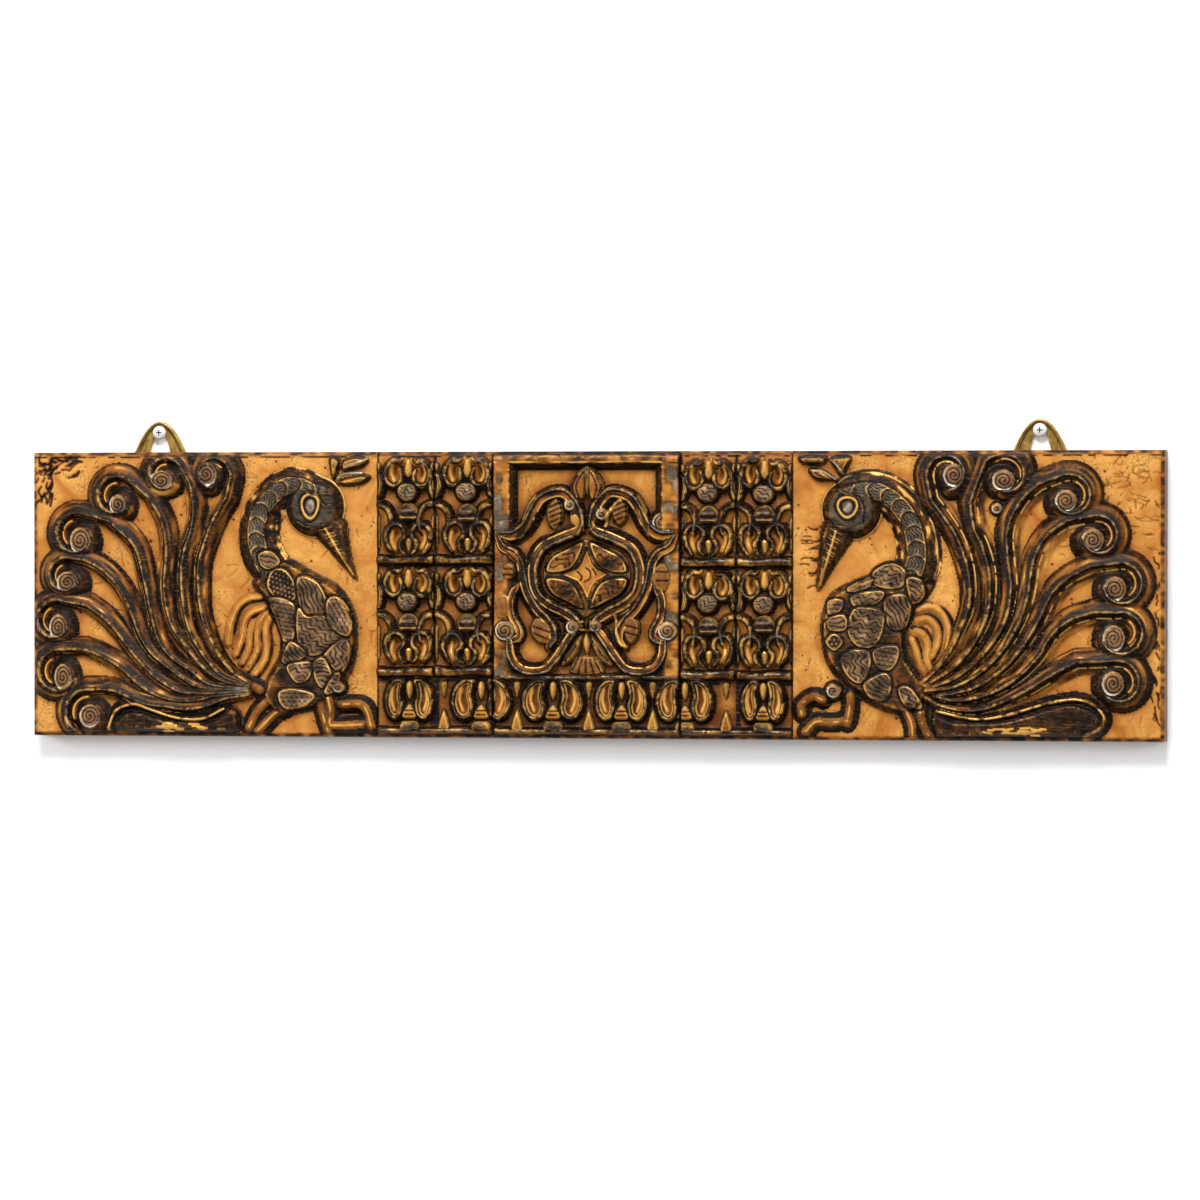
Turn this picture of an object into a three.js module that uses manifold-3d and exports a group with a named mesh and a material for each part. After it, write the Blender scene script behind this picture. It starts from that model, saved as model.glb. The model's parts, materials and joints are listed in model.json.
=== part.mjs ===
// Carved wall panel: a long plank with two birds whose tail feathers end in scrolls, on either side
// of a block of carved tiles with a centre medallion. Two arched brass hangers stand above its top
// edge, each hung on a white cross-head screw.
// Millimetres, +Z up, +X right. The front faces -Y, and the back lies on the wall plane y = 0.
import * as THREE from 'three';
import { mergeVertices } from 'three/addons/utils/BufferGeometryUtils.js';
import Module from 'manifold-3d';

const wasm = await Module();
wasm.setup();

// The plank
const panelWidth = 914;
const panelHeight = 228.5;
const plankThickness = 35;
const groundDepth = 9;
const edgeChamfer = 3.4;

// The hangers: an arch above the top edge and a tang let into the back
const hangerInset = 100;
const hangerWidth = 42.5;
const hangerRise = 25;
const hangerThickness = 4;
const hangerTangLength = 34;
const hangerRimWidth = 3.2;
const hangerRimHeight = 1.2;
const hangerOpeningWidth = 17.5;

// The screws that the hangers hang on
const wallScrewHeadRadius = 5.5;
const wallScrewHeadHeight = 2.8;
const wallScrewShankRadius = 2.2;
const wallScrewReach = 28;
const wallScrewPoint = 5;
const crossSlotLength = 5.6;
const crossSlotWidth = 1.1;
const crossSlotDepth = 1.5;

// The small screws that hold each tang to the plank
const tangScrewHeadRadius = 3.4;
const tangScrewHeadHeight = 1.8;
const tangScrewShankRadius = 1.5;
const tangScrewLength = 15;
const tangScrewPoint = 3;
const tangScrewInset = 9.25;
const tangScrewDrop = 17;

const fitGap = 0.3;

// The carving is laid out on a carver's grid over the face: 400 units across from the left edge
// and 100 units down from the top edge. Heights are shares of the ground's depth.
const gridAcross = 400;
const gridDown = 100;
const unitAcross = panelWidth / gridAcross;
const unitDown = panelHeight / gridDown;
const groundLevel = plankThickness - groundDepth;
const buried = -0.16;

const wood = new THREE.MeshStandardMaterial({ color: '#a86f33', roughness: 0.62, metalness: 0 });
const brass = new THREE.MeshStandardMaterial({ color: '#8f7438', roughness: 0.38, metalness: 0.9 });
const whiteEnamel = new THREE.MeshStandardMaterial({ color: '#e8e6e0', roughness: 0.35, metalness: 0.1 });
const zincSteel = new THREE.MeshStandardMaterial({ color: '#9a9c9e', roughness: 0.4, metalness: 0.9 });

// Turns a closed geometry into a solid that can be joined and cut
function solidOf(geometry) {
  const bare = geometry.clone();
  bare.deleteAttribute('normal');
  bare.deleteAttribute('uv');
  const merged = mergeVertices(bare, 1e-4);
  const vertProperties = new Float32Array(merged.attributes.position.array);
  const triVerts = new Uint32Array(merged.index.array);
  return new wasm.Manifold(new wasm.Mesh({ numProp: 3, vertProperties, triVerts }));
}

// Turns a solid back into a geometry for a mesh
function geometryOf(solid) {
  const mesh = solid.getMesh();
  const geometry = new THREE.BufferGeometry();
  geometry.setAttribute('position', new THREE.BufferAttribute(new Float32Array(mesh.vertProperties), 3));
  geometry.setIndex(new THREE.BufferAttribute(new Uint32Array(mesh.triVerts), 1));
  geometry.computeVertexNormals();
  return geometry;
}

// Joins a list of solids into one
function join(solids) {
  return solids.reduce((whole, solid) => whole.add(solid));
}

// A place on the grid, in millimetres on the face
function spot([u, v]) {
  return new THREE.Vector2((u - gridAcross / 2) * unitAcross, (gridDown / 2 - v) * unitDown);
}

// A place on the face, raised from the ground by a share of its depth
function raise(place, height) {
  return new THREE.Vector3(place.x, -(groundLevel + height * groundDepth), place.y);
}

// Six times the volume inside a triangle list, negative where its faces point inwards
function signedVolume(positions, indices) {
  const corner = (index) => new THREE.Vector3().fromArray(positions, 3 * index);
  let sum = 0;
  for (let k = 0; k < indices.length; k += 3) {
    const [a, b, c] = [corner(indices[k]), corner(indices[k + 1]), corner(indices[k + 2])];
    sum += a.dot(b.cross(c));
  }
  return sum;
}

// Skins a row of rings that all have the same number of corners, with flat caps on both ends
function loft(rings, capOutline) {
  const clockwise = THREE.ShapeUtils.area(capOutline) < 0;
  const outline = clockwise ? [...capOutline].reverse() : capOutline;
  const ordered = clockwise ? rings.map((ring) => [...ring].reverse()) : rings;
  const size = outline.length;
  const positions = ordered.flat().flatMap((corner) => corner.toArray());
  const indices = [];
  for (let ring = 0; ring < ordered.length - 1; ring += 1) {
    for (let k = 0; k < size; k += 1) {
      const near = ring * size + k;
      const next = ring * size + ((k + 1) % size);
      indices.push(near, next, next + size);
      indices.push(near, next + size, near + size);
    }
  }
  const last = (ordered.length - 1) * size;
  for (const [a, b, c] of THREE.ShapeUtils.triangulateShape(outline, [])) {
    indices.push(a, c, b);
    indices.push(last + a, last + b, last + c);
  }
  if (signedVolume(positions, indices) < 0) {
    indices.reverse();
  }
  const geometry = new THREE.BufferGeometry();
  geometry.setAttribute('position', new THREE.Float32BufferAttribute(positions, 3));
  geometry.setIndex(indices);
  return solidOf(geometry);
}

// A smooth line through grid points, as evenly spaced places on the face
function smoothLine(points, steps) {
  return new THREE.SplineCurve(points.map(spot)).getSpacedPoints(steps);
}

// A spiral on the grid: its radius and angle run evenly from start to end. Angles are in degrees,
// counter-clockwise from the right as seen from the front.
function spiral({ centre, radii, angles }, stepAngle) {
  const steps = Math.max(2, Math.round(Math.abs(angles[1] - angles[0]) / stepAngle));
  const places = [];
  for (let k = 0; k <= steps; k += 1) {
    const radius = THREE.MathUtils.lerp(radii[0], radii[1], k / steps);
    const angle = THREE.MathUtils.degToRad(THREE.MathUtils.lerp(angles[0], angles[1], k / steps));
    places.push(spot([centre[0] + radius * Math.cos(angle), centre[1] - radius * Math.sin(angle)]));
  }
  return places;
}

// Sweeps a section along places on the face. A section is a list of [units to the side, height];
// hand is 1 where the first side is on the left of the travel, and -1 on the right.
function sweep(places, section, hand, widthAt) {
  const last = places.length - 1;
  const rings = places.map((place, k) => {
    const along = places[Math.min(k + 1, last)].clone().sub(places[Math.max(k - 1, 0)]).normalize();
    const side = new THREE.Vector2(-along.y, along.x).multiplyScalar(hand * unitDown * widthAt(k / last));
    return section.map(([offset, height]) => raise(place.clone().addScaledVector(side, offset), height));
  });
  return loft(rings, section.map(([offset, height]) => new THREE.Vector2(offset, height)));
}

// A raised form whose walls slope in from its ground line to a smaller top
function mound(points, top, shrink, base = buried) {
  const outline = points.map(spot);
  const middle = outline.reduce((sum, place) => sum.add(place), new THREE.Vector2());
  middle.divideScalar(outline.length);
  const crown = outline.map((place) => place.clone().lerp(middle, shrink));
  const rings = [outline.map((place) => raise(place, base)), crown.map((place) => raise(place, top))];
  return loft(rings, outline);
}

// A round or oval form turned from a profile of [share of the radius, height]
function turned([u, v], radiusAcross, radiusDown, profile, segments, base = buried) {
  const crown = profile.map(([share, height]) => new THREE.Vector2(share, height * groundDepth));
  const foot = new THREE.Vector2(profile[0][0] + footSpread, base * groundDepth);
  const centre = new THREE.Vector2(0, base * groundDepth);
  const geometry = new THREE.LatheGeometry([centre, foot, ...crown], segments);
  geometry.scale(radiusAcross * unitAcross, 1, radiusDown * unitDown);
  geometry.rotateX(Math.PI);
  const place = spot([u, v]);
  geometry.translate(place.x, -groundLevel, place.y);
  return solidOf(geometry);
}

const footSpread = 0.26;
const dishProfile = [[1, 0.88], [0, 0.3]];
const buttonProfile = [[1, 0.78], [0, 0.6]];
const domeProfile = [[0.8, 0.76], [0, 0.94]];
const headProfile = [[0.74, 0.94], [0, 0.98]];
const eyeProfile = [[1, 0.9], [0.82, 1.06], [0, 0.72]];

// How high the flat-topped forms stand, as shares of the ground's depth
const heights = {
  lowLeaf: 0.85, body: 0.66, plate: 1, beak: 0.72, plume: 0.74, leaf: 0.8,
  frame: 0.96, star: 0.62, quadrant: 0.8, palmette: 0.86, sideLeaf: 0.7,
};
const innerBase = 0.2;
const wideShrink = 0.3;
const legWidth = 1.1;

// A slab of the plank with its front edge chamfered, from one depth to another
function chamferedSlab(backDepth, frontDepth) {
  const corner = (inset) => [[-1, -1], [1, -1], [1, 1], [-1, 1]].map(
    ([x, z]) => new THREE.Vector2(x * (panelWidth / 2 - inset), z * (panelHeight / 2 - inset)),
  );
  const ring = (inset, depth) => corner(inset).map((place) => new THREE.Vector3(place.x, -depth, place.y));
  const rings = [ring(0, backDepth), ring(0, frontDepth - edgeChamfer), ring(edgeChamfer, frontDepth)];
  return loft(rings, corner(0));
}

// A feather: on its outer side a band and a sloping bank, on its inner side a deep channel
const featherSection = [[4.4, buried], [1.9, 0.76], [0, 1], [-3.2, buried]];
const featherRootWidth = 0.34;
const featherFullAt = 0.42;
const featherTipWidth = 0.62;

function featherWidth(share) {
  if (share < featherFullAt) {
    return THREE.MathUtils.lerp(featherRootWidth, 1, share / featherFullAt);
  }
  const past = Math.max(0, share - 0.7) / 0.3;
  return THREE.MathUtils.lerp(1, featherTipWidth, past);
}

const leftFeathers = [
  {
    shaft: [[73.2, 77.4], [66.8, 69.1], [62.3, 58], [60.7, 44], [62.5, 33.5], [66.1, 24], [70.8, 16]],
    curl: { centre: [66, 8], radii: [6.5, 4.3], angles: [-8, 255] },
    disc: [63.8, 8],
  },
  {
    shaft: [[70, 79], [61, 69.1], [56, 58], [54.7, 44], [57, 31], [59.1, 20], [57.8, 11]],
    curl: { centre: [48.7, 8.3], radii: [6.5, 4], angles: [36, 310] },
    disc: [47.8, 9.8],
  },
  {
    shaft: [[68.7, 80], [57.9, 70.7], [51.5, 61.5], [48.6, 50], [49.3, 36], [47.5, 24], [42.9, 16]],
    curl: { centre: [31, 15.5], radii: [7.2, 5.4], angles: [48, 308] },
    disc: [31.5, 17.4],
  },
  {
    shaft: [[65, 81.6], [53.7, 73.3], [46.4, 66], [42.4, 50], [39.7, 36.7], [33.8, 28.9], [25.5, 23]],
    curl: { centre: [16.5, 29], radii: [7.7, 5.7], angles: [77, 302] },
    disc: [17.6, 31],
  },
  {
    shaft: [[62.3, 82.8], [52.8, 78.1], [43.8, 70.7], [38.6, 60], [33.5, 50], [28.4, 43.4], [19.8, 38.1]],
    curl: { centre: [12.8, 43.8], radii: [6.8, 4.4], angles: [77, 310] },
    disc: [13.2, 45.6],
  },
  {
    shaft: [[57.5, 84.8], [48.9, 81.6], [40.8, 75.2], [33.5, 66.3], [26.5, 58.3], [18.2, 53.3]],
    curl: { centre: [9, 59.5], radii: [7.4, 5], angles: [76, 319] },
    disc: [9.7, 61.6],
  },
  {
    shaft: [[67.1, 85.7], [56.6, 87.8], [45.4, 85.4], [36.7, 79.7], [28.1, 73], [20, 69.7]],
    curl: { centre: [10, 77.5], radii: [7.8, 5.8], angles: [82, 324] },
    disc: [11.3, 79.3],
  },
  {
    shaft: [[70.6, 86.7], [58.5, 90.2], [49.6, 89.2], [40, 88.1], [33.5, 85.2], [26.5, 83.6]],
    curl: { centre: [20.5, 92], radii: [8.3, 7.4], angles: [80, 231] },
    disc: [21.6, 93.2],
  },
];

const rightFeathers = [
  {
    shaft: [[316.5, 80.5], [324, 73], [330, 62], [333.5, 50], [332, 38], [326.8, 26.5], [321, 18.4]],
    curl: { centre: [325.5, 8.3], radii: [7.2, 5.3], angles: [197, -81] },
    disc: [327.8, 8.8],
  },
  {
    shaft: [[320, 80], [330, 73], [337, 62.5], [340.5, 50], [338.8, 36], [334, 22.5], [334.6, 12]],
    curl: { centre: [345.5, 8.8], radii: [8.4, 5.2], angles: [145, -96] },
    disc: [345.2, 10],
  },
  {
    shaft: [
      [320.5, 81.5], [332, 76], [341.5, 66], [347, 54],
      [347.2, 42], [346, 29], [350.6, 18], [357, 11.6],
    ],
    curl: { centre: [368, 15.8], radii: [7.7, 5.6], angles: [115, -139] },
    disc: [366.8, 17],
  },
  {
    shaft: [
      [318, 83], [333, 79.3], [344.5, 69], [351, 58],
      [353.6, 46], [357, 34], [363, 26.3], [369, 23.6],
    ],
    curl: { centre: [377.5, 29.5], radii: [7.4, 5.2], angles: [112, -154] },
    disc: [375.9, 30.6],
  },
  {
    shaft: [[323, 84.5], [336, 81.4], [347, 73], [354, 63.5], [361, 50], [367, 44], [375, 39.8]],
    curl: { centre: [385.5, 46], radii: [7.6, 6], angles: [108, -168] },
    disc: [383.4, 47.8],
  },
  {
    shaft: [[321, 84.8], [334, 85.5], [344, 82], [353.5, 75.3], [361.5, 63.5], [368, 58.2], [376, 55.5]],
    curl: { centre: [385.5, 62.7], radii: [7.3, 7], angles: [101, -153] },
    disc: [383, 64.6],
  },
  {
    shaft: [[318, 85.3], [330, 89.5], [345, 86.5], [358, 79.3], [366, 74.4], [374, 71.7]],
    curl: { centre: [384.5, 79.7], radii: [7.8, 6], angles: [105, -125] },
    disc: [383, 80.2],
  },
];

const shaftSteps = 6;
const curlStepAngle = 52;
const discRadius = 3.3;
const discSides = 6;

// One feather with the button that its curl holds
function feather({ shaft, curl, disc }) {
  const hand = curl.angles[1] > curl.angles[0] ? -1 : 1;
  const bend = spiral(curl, curlStepAngle);
  const places = [...smoothLine(shaft, shaftSteps), ...bend];
  const plume = sweep(places, featherSection, hand, featherWidth);
  return plume.add(turned(disc, discRadius, discRadius, buttonProfile, discSides));
}

// Low leaves below the feathers, and the oval hollow at the tip of the right one
const lowLeaves = [
  [
    [28.3, 97.5], [32.5, 90], [38, 88.7], [48, 92.1],
    [57.9, 94.2], [66.5, 92.1], [72, 89], [76, 98.6],
  ],
  [
    [322, 89.8], [335, 92.4], [345, 91.3], [358, 87.5], [370, 85.5],
    [377, 88], [379.7, 92], [376, 97.5], [330, 98.6],
  ],
];
const leafTip = { centre: [368.5, 93], radii: [5, 2.6] };

function bottomLeaves() {
  return [
    ...lowLeaves.map((leaf) => mound(leaf, heights.lowLeaf, 0.11)),
    turned(leafTip.centre, ...leafTip.radii, dishProfile, discSides, innerBase),
  ];
}

// A bird's neck and other round-backed stems
const neckSection = [[6.6, buried], [2.7, 0.92], [-2.7, 0.92], [-6.6, buried]];
const stemSection = [[1.5, buried], [0, 0.9], [-1.5, buried]];
const ribSection = [[0.9, 0.2], [0, 1.02], [-0.9, 0.2]];
const evenWidth = () => 1;

function stem(points, width, steps = 5) {
  return sweep(smoothLine(points, steps), stemSection, 1, () => width);
}

// Both birds are built from the same kinds of parts: a body with plates on it, a neck, a head with
// a ringed eye, a beak, a plume, a sprig of leaves, legs and toes
const leftBird = {
  body: [
    [80, 46], [88, 38], [104, 43.2], [114, 50.5], [118, 62], [117.6, 71], [114, 80.6],
    [104, 91], [88, 92.5], [82.5, 84], [89.6, 71], [88, 59.5],
  ],
  neck: [[104, 14.5], [97, 11.9], [89.5, 13.8], [83.6, 20.5], [82.4, 30], [85.5, 40], [90, 47]],
  head: { centre: [102.5, 19.5], radii: [9.2, 9.4] },
  eye: { centre: [101.3, 19.2], radii: [2.8, 4.2] },
  beak: [[101, 27.2], [106, 22.5], [113.4, 23.2], [115, 33], [117.8, 45.4], [110.5, 38.4]],
  beakRidge: [[107, 26], [111, 34.5], [116, 42.5]],
  plume: [
    [70, 64], [73, 56], [76.5, 50.5], [82, 51], [86, 58],
    [87.4, 67], [84, 76], [79, 78.5], [73.5, 73],
  ],
  strands: [
    [[78, 54], [77.5, 64], [76.5, 74]],
    [[82, 55], [82.5, 66], [80, 76]],
  ],
  sprig: [
    [[107.6, 1.6], [111.6, 2.6], [111, 7], [109, 10.4]],
    [[112, 3.2], [118, 1.8], [122, 3.6], [117, 6.6], [112.6, 6]],
    [[109.4, 10.4], [118, 7.8], [122.6, 8.4], [118, 12], [111.4, 12.2]],
  ],
  plates: [
    [[88, 41.5], [92, 41.5], [95.2, 45.5], [95.4, 51.6], [89.4, 51], [86, 46]],
    [[96.7, 46], [99, 43.8], [104, 46.5], [107, 52.6], [105.4, 57], [101, 56.8], [97.2, 53]],
    [[86.6, 51.4], [94.8, 53], [95.8, 60], [94.4, 66], [91, 66], [88, 58]],
    [[97, 55], [101, 58], [106.8, 58], [112, 64.6], [105, 71.3], [98.6, 70], [96.6, 64]],
    [[107.8, 53], [111, 51], [115, 56], [116, 62.4], [113, 64], [108, 59]],
    [[112.8, 65.7], [115.4, 67.4], [114.6, 73.6], [112, 77.3], [107, 71.4]],
    [[94.4, 67], [100, 71], [97, 73.4], [91.4, 73.8]],
    [[93, 75], [101.6, 74.4], [100.4, 79.6], [96, 80.6]],
    [[102.8, 74], [106, 72.4], [108.8, 78], [106, 82.6], [103.2, 79.6]],
    [[90, 85], [96, 83.6], [103, 85.4], [99, 89.4], [92, 90]],
  ],
  legs: [
    [[86, 86], [82, 91], [79, 96.5]],
    [[104.4, 86.5], [105.6, 92], [107.4, 98]],
    [[109, 95.6], [116, 96], [121.6, 95]],
    [[110, 88.6], [119, 88.4], [122, 92]],
    [[74, 80], [79, 82], [84, 84]],
  ],
  knob: { centre: [111, 83], radius: 2.2 },
};

const rightBird = {
  body: [
    [320.5, 46], [313.5, 58], [312.4, 68], [318, 82], [314, 90], [302, 90],
    [288.5, 80.5], [283, 73], [281, 63], [283.4, 51], [295, 44.2], [312, 38],
  ],
  neck: [[293, 15], [300, 13.2], [307, 15.6], [312.5, 22], [315.4, 31], [315, 40], [311, 49]],
  head: { centre: [292, 20.4], radii: [9, 9.4] },
  eye: { centre: [291.3, 19.7], radii: [3.2, 4.2] },
  beak: [[282.4, 24.6], [288, 22.4], [295, 28.6], [289.5, 35], [280.8, 48.6], [280, 38]],
  beakRidge: [[287.4, 27.4], [285, 36], [281.6, 45.6]],
  plume: [
    [316, 55], [320, 53], [324.4, 55], [327.2, 61.6], [325.4, 69],
    [321.6, 75.6], [317.4, 77], [312.6, 70], [312.4, 61.6],
  ],
  strands: [
    [[317.4, 57.6], [319.4, 65], [319.6, 73.4]],
    [[321.6, 56.6], [323.6, 64], [322, 72.4]],
  ],
  sprig: [
    [[284.5, 2.4], [292, 1.9], [291.4, 5.4], [288.5, 9.2]],
    [[276.8, 6.4], [281, 5.8], [287.4, 10.4], [280, 10.6]],
    [[273.4, 2.2], [283.6, 1.8], [282.4, 4.9], [275, 4.8]],
  ],
  plates: [
    [[293.2, 49.6], [303.2, 48.4], [302.4, 51.8], [293.6, 53.4]],
    [[304, 51.4], [311, 49.6], [313.2, 55], [309.8, 61.4], [305.6, 60]],
    [[293.6, 54.6], [303.6, 55.2], [303, 62.8], [299, 68], [292.4, 65.2], [291.2, 61]],
    [[284, 51.8], [289.6, 51.6], [288.4, 56], [284.2, 57]],
    [[283.6, 64], [287, 62.6], [289.8, 66], [287.4, 69.6], [284.2, 68.4]],
    [[288.8, 71.6], [292, 69], [298, 69], [299.2, 73], [295, 80], [291, 77.6]],
    [[300.4, 69], [308.4, 67.4], [307.6, 74], [303.4, 76.4]],
    [[296.8, 81], [304, 76.8], [306.4, 80.4], [304.4, 85.8], [299.4, 85.4]],
    [[308.6, 82], [313.4, 81.6], [316.8, 88.8], [311, 88.6]],
  ],
  legs: [
    [[312, 88], [313.4, 93], [314, 98]],
    [[316.6, 88], [317.4, 93], [319.4, 98]],
    [[291.6, 85], [291, 91], [284, 94.4], [277, 96.6]],
    [[275.4, 91], [277, 86], [281.6, 85.4]],
    [[307.5, 75], [313, 80], [319, 81.4]],
  ],
  knob: { centre: [286, 83], radius: 2.5 },
};

function bird(form) {
  const ring = (part, profile, base) => turned(part.centre, part.radii[0], part.radii[1], profile, 8, base);
  const low = heights.body - 0.1;
  return [
    mound(form.body, heights.body, 0.13),
    ...form.plates.map((plate) => mound(plate, heights.plate, 0.22, low)),
    sweep(smoothLine(form.neck, 6), neckSection, 1, evenWidth),
    ring(form.head, headProfile),
    ring(form.eye, eyeProfile, low),
    mound(form.beak, heights.beak, wideShrink),
    sweep(smoothLine(form.beakRidge, 1), ribSection, 1, evenWidth),
    mound(form.plume, heights.plume, 0.2),
    ...form.strands.map((line) => sweep(smoothLine(line, 2), ribSection, 1, evenWidth)),
    ...form.sprig.map((leaf) => mound(leaf, heights.leaf, wideShrink)),
    ...form.legs.map((line) => stem(line, legWidth, 2)),
    turned(form.knob.centre, form.knob.radius, form.knob.radius, domeProfile, discSides),
  ];
}

// The tile block: two columns on either side of the centre, parted by upright seams and cross bars
const tileBlocks = [
  { seams: [124.6, 145.3, 166.1], bars: [38.2, 76.8], rowTops: [2, 40.2] },
  { seams: [232.3, 251.9, 271.7], bars: [39.2, 78], rowTops: [3.6, 41.6] },
];
const blockSection = [[1.7, buried], [1.1, 0.8], [-1.1, 0.8], [-1.7, buried]];
const smallSides = 6;

// One tile: a pair of drops, a boss and a barrel below them, and a pair of arches at the foot.
// Each form is [how far to the side, how far down, radius across, radius down, profile].
const tileForms = [
  [-4.6, 6.4, 3.2, 5.2, dishProfile],
  [4.6, 6.4, 3.2, 5.2, dishProfile],
  [0, 13.6, 3.4, 3, domeProfile],
  [0, 20.8, 3.7, 3.4, domeProfile],
  [-4.6, 29, 3.4, 5.4, dishProfile],
  [4.6, 29, 3.4, 5.4, dishProfile],
];

// On each seam a hanging drop and, below it, a tall arch
const seamFormList = [
  [0, 9.6, 2.6, 5, dishProfile],
  [0, 24, 4.3, 7.4, dishProfile],
];

function laid(forms, middle, top) {
  return forms.map(([across, down, radiusAcross, radiusDown, profile]) => (
    turned([middle + across, top + down], radiusAcross, radiusDown, profile, smallSides)
  ));
}

function tiles({ seams, bars, rowTops }) {
  const middles = [(seams[0] + seams[1]) / 2 + 1, (seams[1] + seams[2]) / 2 + 1.4];
  const solids = [];
  for (const top of rowTops) {
    middles.forEach((middle) => solids.push(...laid(tileForms, middle, top)));
    solids.push(...laid(seamFormList, seams[1], top));
  }
  for (const bar of bars) {
    const places = smoothLine([[seams[0] + 0.4, bar], [seams[2] - 0.4, bar]], 1);
    solids.push(sweep(places, blockSection, 1, evenWidth));
  }
  return solids;
}

// The bottom row runs under the whole block: pairs of larger drops with a wedge between them
const bottomPairs = [
  [131.4, 141.4], [155.9, 168], [181.2, 193.7],
  [206.4, 217], [228.2, 239.7], [257.4, 265.8],
];
const dropLevel = 87;
const dropHeight = 6.4;
const wedgeTop = 90.6;
const wedgeFoot = 96.4;
const wedgeReach = 3.2;

function bottomRow() {
  return bottomPairs.flatMap(([left, right]) => {
    const middle = (left + right) / 2;
    const radius = (right - left) * 0.36;
    return [
      turned([left, dropLevel], radius, dropHeight, dishProfile, smallSides),
      turned([right, dropLevel], radius, dropHeight, dishProfile, smallSides),
      mound(
        [[middle, wedgeTop], [middle - wedgeReach, wedgeFoot], [middle + wedgeReach, wedgeFoot]],
        heights.leaf,
        wideShrink,
      ),
    ];
  });
}

// The centre: a frame on the left, right and top of a sunk field with a ringed star and scrolls
const centreLeft = 166.4;
const centreRight = 231.6;
const centreTop = 1.6;
const centreBottom = 77.6;
const frameWidth = 6.2;
const frameTopWidth = 2.8;
const frameSlope = 2.6;
const ringSection = [[2.4, buried], [0.9, 0.92], [-0.9, 0.92], [-2.4, buried]];
const scrollSection = [[3.2, buried], [1.2, 0.74], [0, 0.98], [-1.8, buried]];

// An upright of the frame, flat on top, with a slope towards the sunk field
function upright(outer, inner, slope) {
  const ring = (edge, height) => (
    [[outer, centreTop], [edge, centreTop], [edge, centreBottom], [outer, centreBottom]]
      .map((corner) => raise(spot(corner), height))
  );
  const rings = [ring(inner + slope, buried), ring(inner, heights.frame)];
  return loft(rings, rings[1].map((corner) => new THREE.Vector2(corner.x, corner.z)));
}

function centreFrame() {
  const barBottom = centreTop + frameTopWidth;
  return [
    upright(centreLeft, centreLeft + frameWidth, frameSlope),
    upright(centreRight, centreRight - frameWidth, -frameSlope),
    mound(
      [[centreLeft, centreTop], [centreRight, centreTop], [centreRight, barBottom], [centreLeft, barBottom]],
      heights.frame,
      0,
    ),
  ];
}

const medallion = [199.4, 43];
const ringHalf = [
  [198.6, 26], [193, 30.6], [186, 33.4], [181.8, 40],
  [182.4, 47.6], [188, 53.2], [194.6, 55], [198.2, 60],
];
const upperScroll = [
  [171, 28.4], [177.4, 25.4], [181, 18], [186, 14.2],
  [192, 13.8], [196.6, 17.4], [198.4, 24],
];
const lowerArc = [
  [171.4, 66.8], [172.6, 72], [177, 76.4], [183, 76.8],
  [189, 72.6], [194, 65], [197.4, 59],
];
const starPoints = [
  [199.4, 34.6], [201.6, 40.2], [205.4, 43], [201.6, 46.4],
  [199.4, 51.4], [197, 46.4], [191.6, 43], [197, 40.2],
];
const leafQuadrant = [[197.4, 33.8], [191, 33.8], [185, 38], [184.6, 42], [192, 42], [196, 39.4]];
const sideLeaves = [
  [[189, 17], [191.4, 21], [190.4, 25.6], [187.8, 27.4], [185.6, 24], [186.4, 19.6]],
  [[169, 43.4], [170.4, 38.6], [175, 37.6], [175.4, 42], [172, 45.4]],
  [[179.4, 60.6], [182, 57.6], [187, 61.4], [186.6, 67], [183, 67.4], [180, 64]],
  [[188.8, 73.6], [194.6, 63.8], [198, 62.4], [197.6, 67], [191.6, 75]],
  [[194.6, 8.4], [197, 15.6], [193.6, 12.6]],
];
const palmette = [[199.4, 4.8], [202.6, 8], [201.4, 16], [197.4, 16], [196.2, 8]];
const fan = [[196.4, 71], [202.4, 71], [204.6, 77.4], [194.2, 77.4]];
const knobs = [[194.6, 61.2], [193.6, 18.6]];
const knobRadius = 2.2;
const sideBoss = { centre: [170.6, 62.6], radii: [3.6, 4] };

// Mirrors grid points in the upright line through the medallion
function mirrored(points) {
  return points.map(([u, v]) => [2 * medallion[0] - u, v]);
}

function centreField() {
  const bothSides = (points) => [points, mirrored(points)];
  const flipped = leafQuadrant.map(([u, v]) => [u, 2 * medallion[1] - v]);
  const turnedOver = scrollSection.map(([offset, height]) => [-offset, height]);
  const strand = (points, section, steps) => bothSides(points).map(
    (half, k) => sweep(smoothLine(half, steps), section, k === 0 ? 1 : -1, evenWidth),
  );
  const pair = (centre, radii, profile, sides) => bothSides([centre]).flat().map(
    (middle) => turned(middle, ...radii, profile, sides),
  );
  return [
    ...strand(ringHalf, ringSection, 8),
    ...strand(upperScroll, scrollSection, 7),
    ...strand(lowerArc, turnedOver, 7),
    mound(starPoints, heights.star, 0.2),
    ...[leafQuadrant, flipped].flatMap(bothSides).map((leaf) => mound(leaf, heights.quadrant, 0.2)),
    ...sideLeaves.flatMap(bothSides).map((leaf) => mound(leaf, heights.palmette, wideShrink)),
    mound(palmette, heights.palmette, wideShrink),
    ...knobs.flatMap((centre) => pair(centre, [knobRadius, knobRadius], domeProfile, smallSides)),
    ...pair(sideBoss.centre, sideBoss.radii, buttonProfile, discSides),
    mound(fan, heights.leaf, 0.2),
  ];
}

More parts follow.
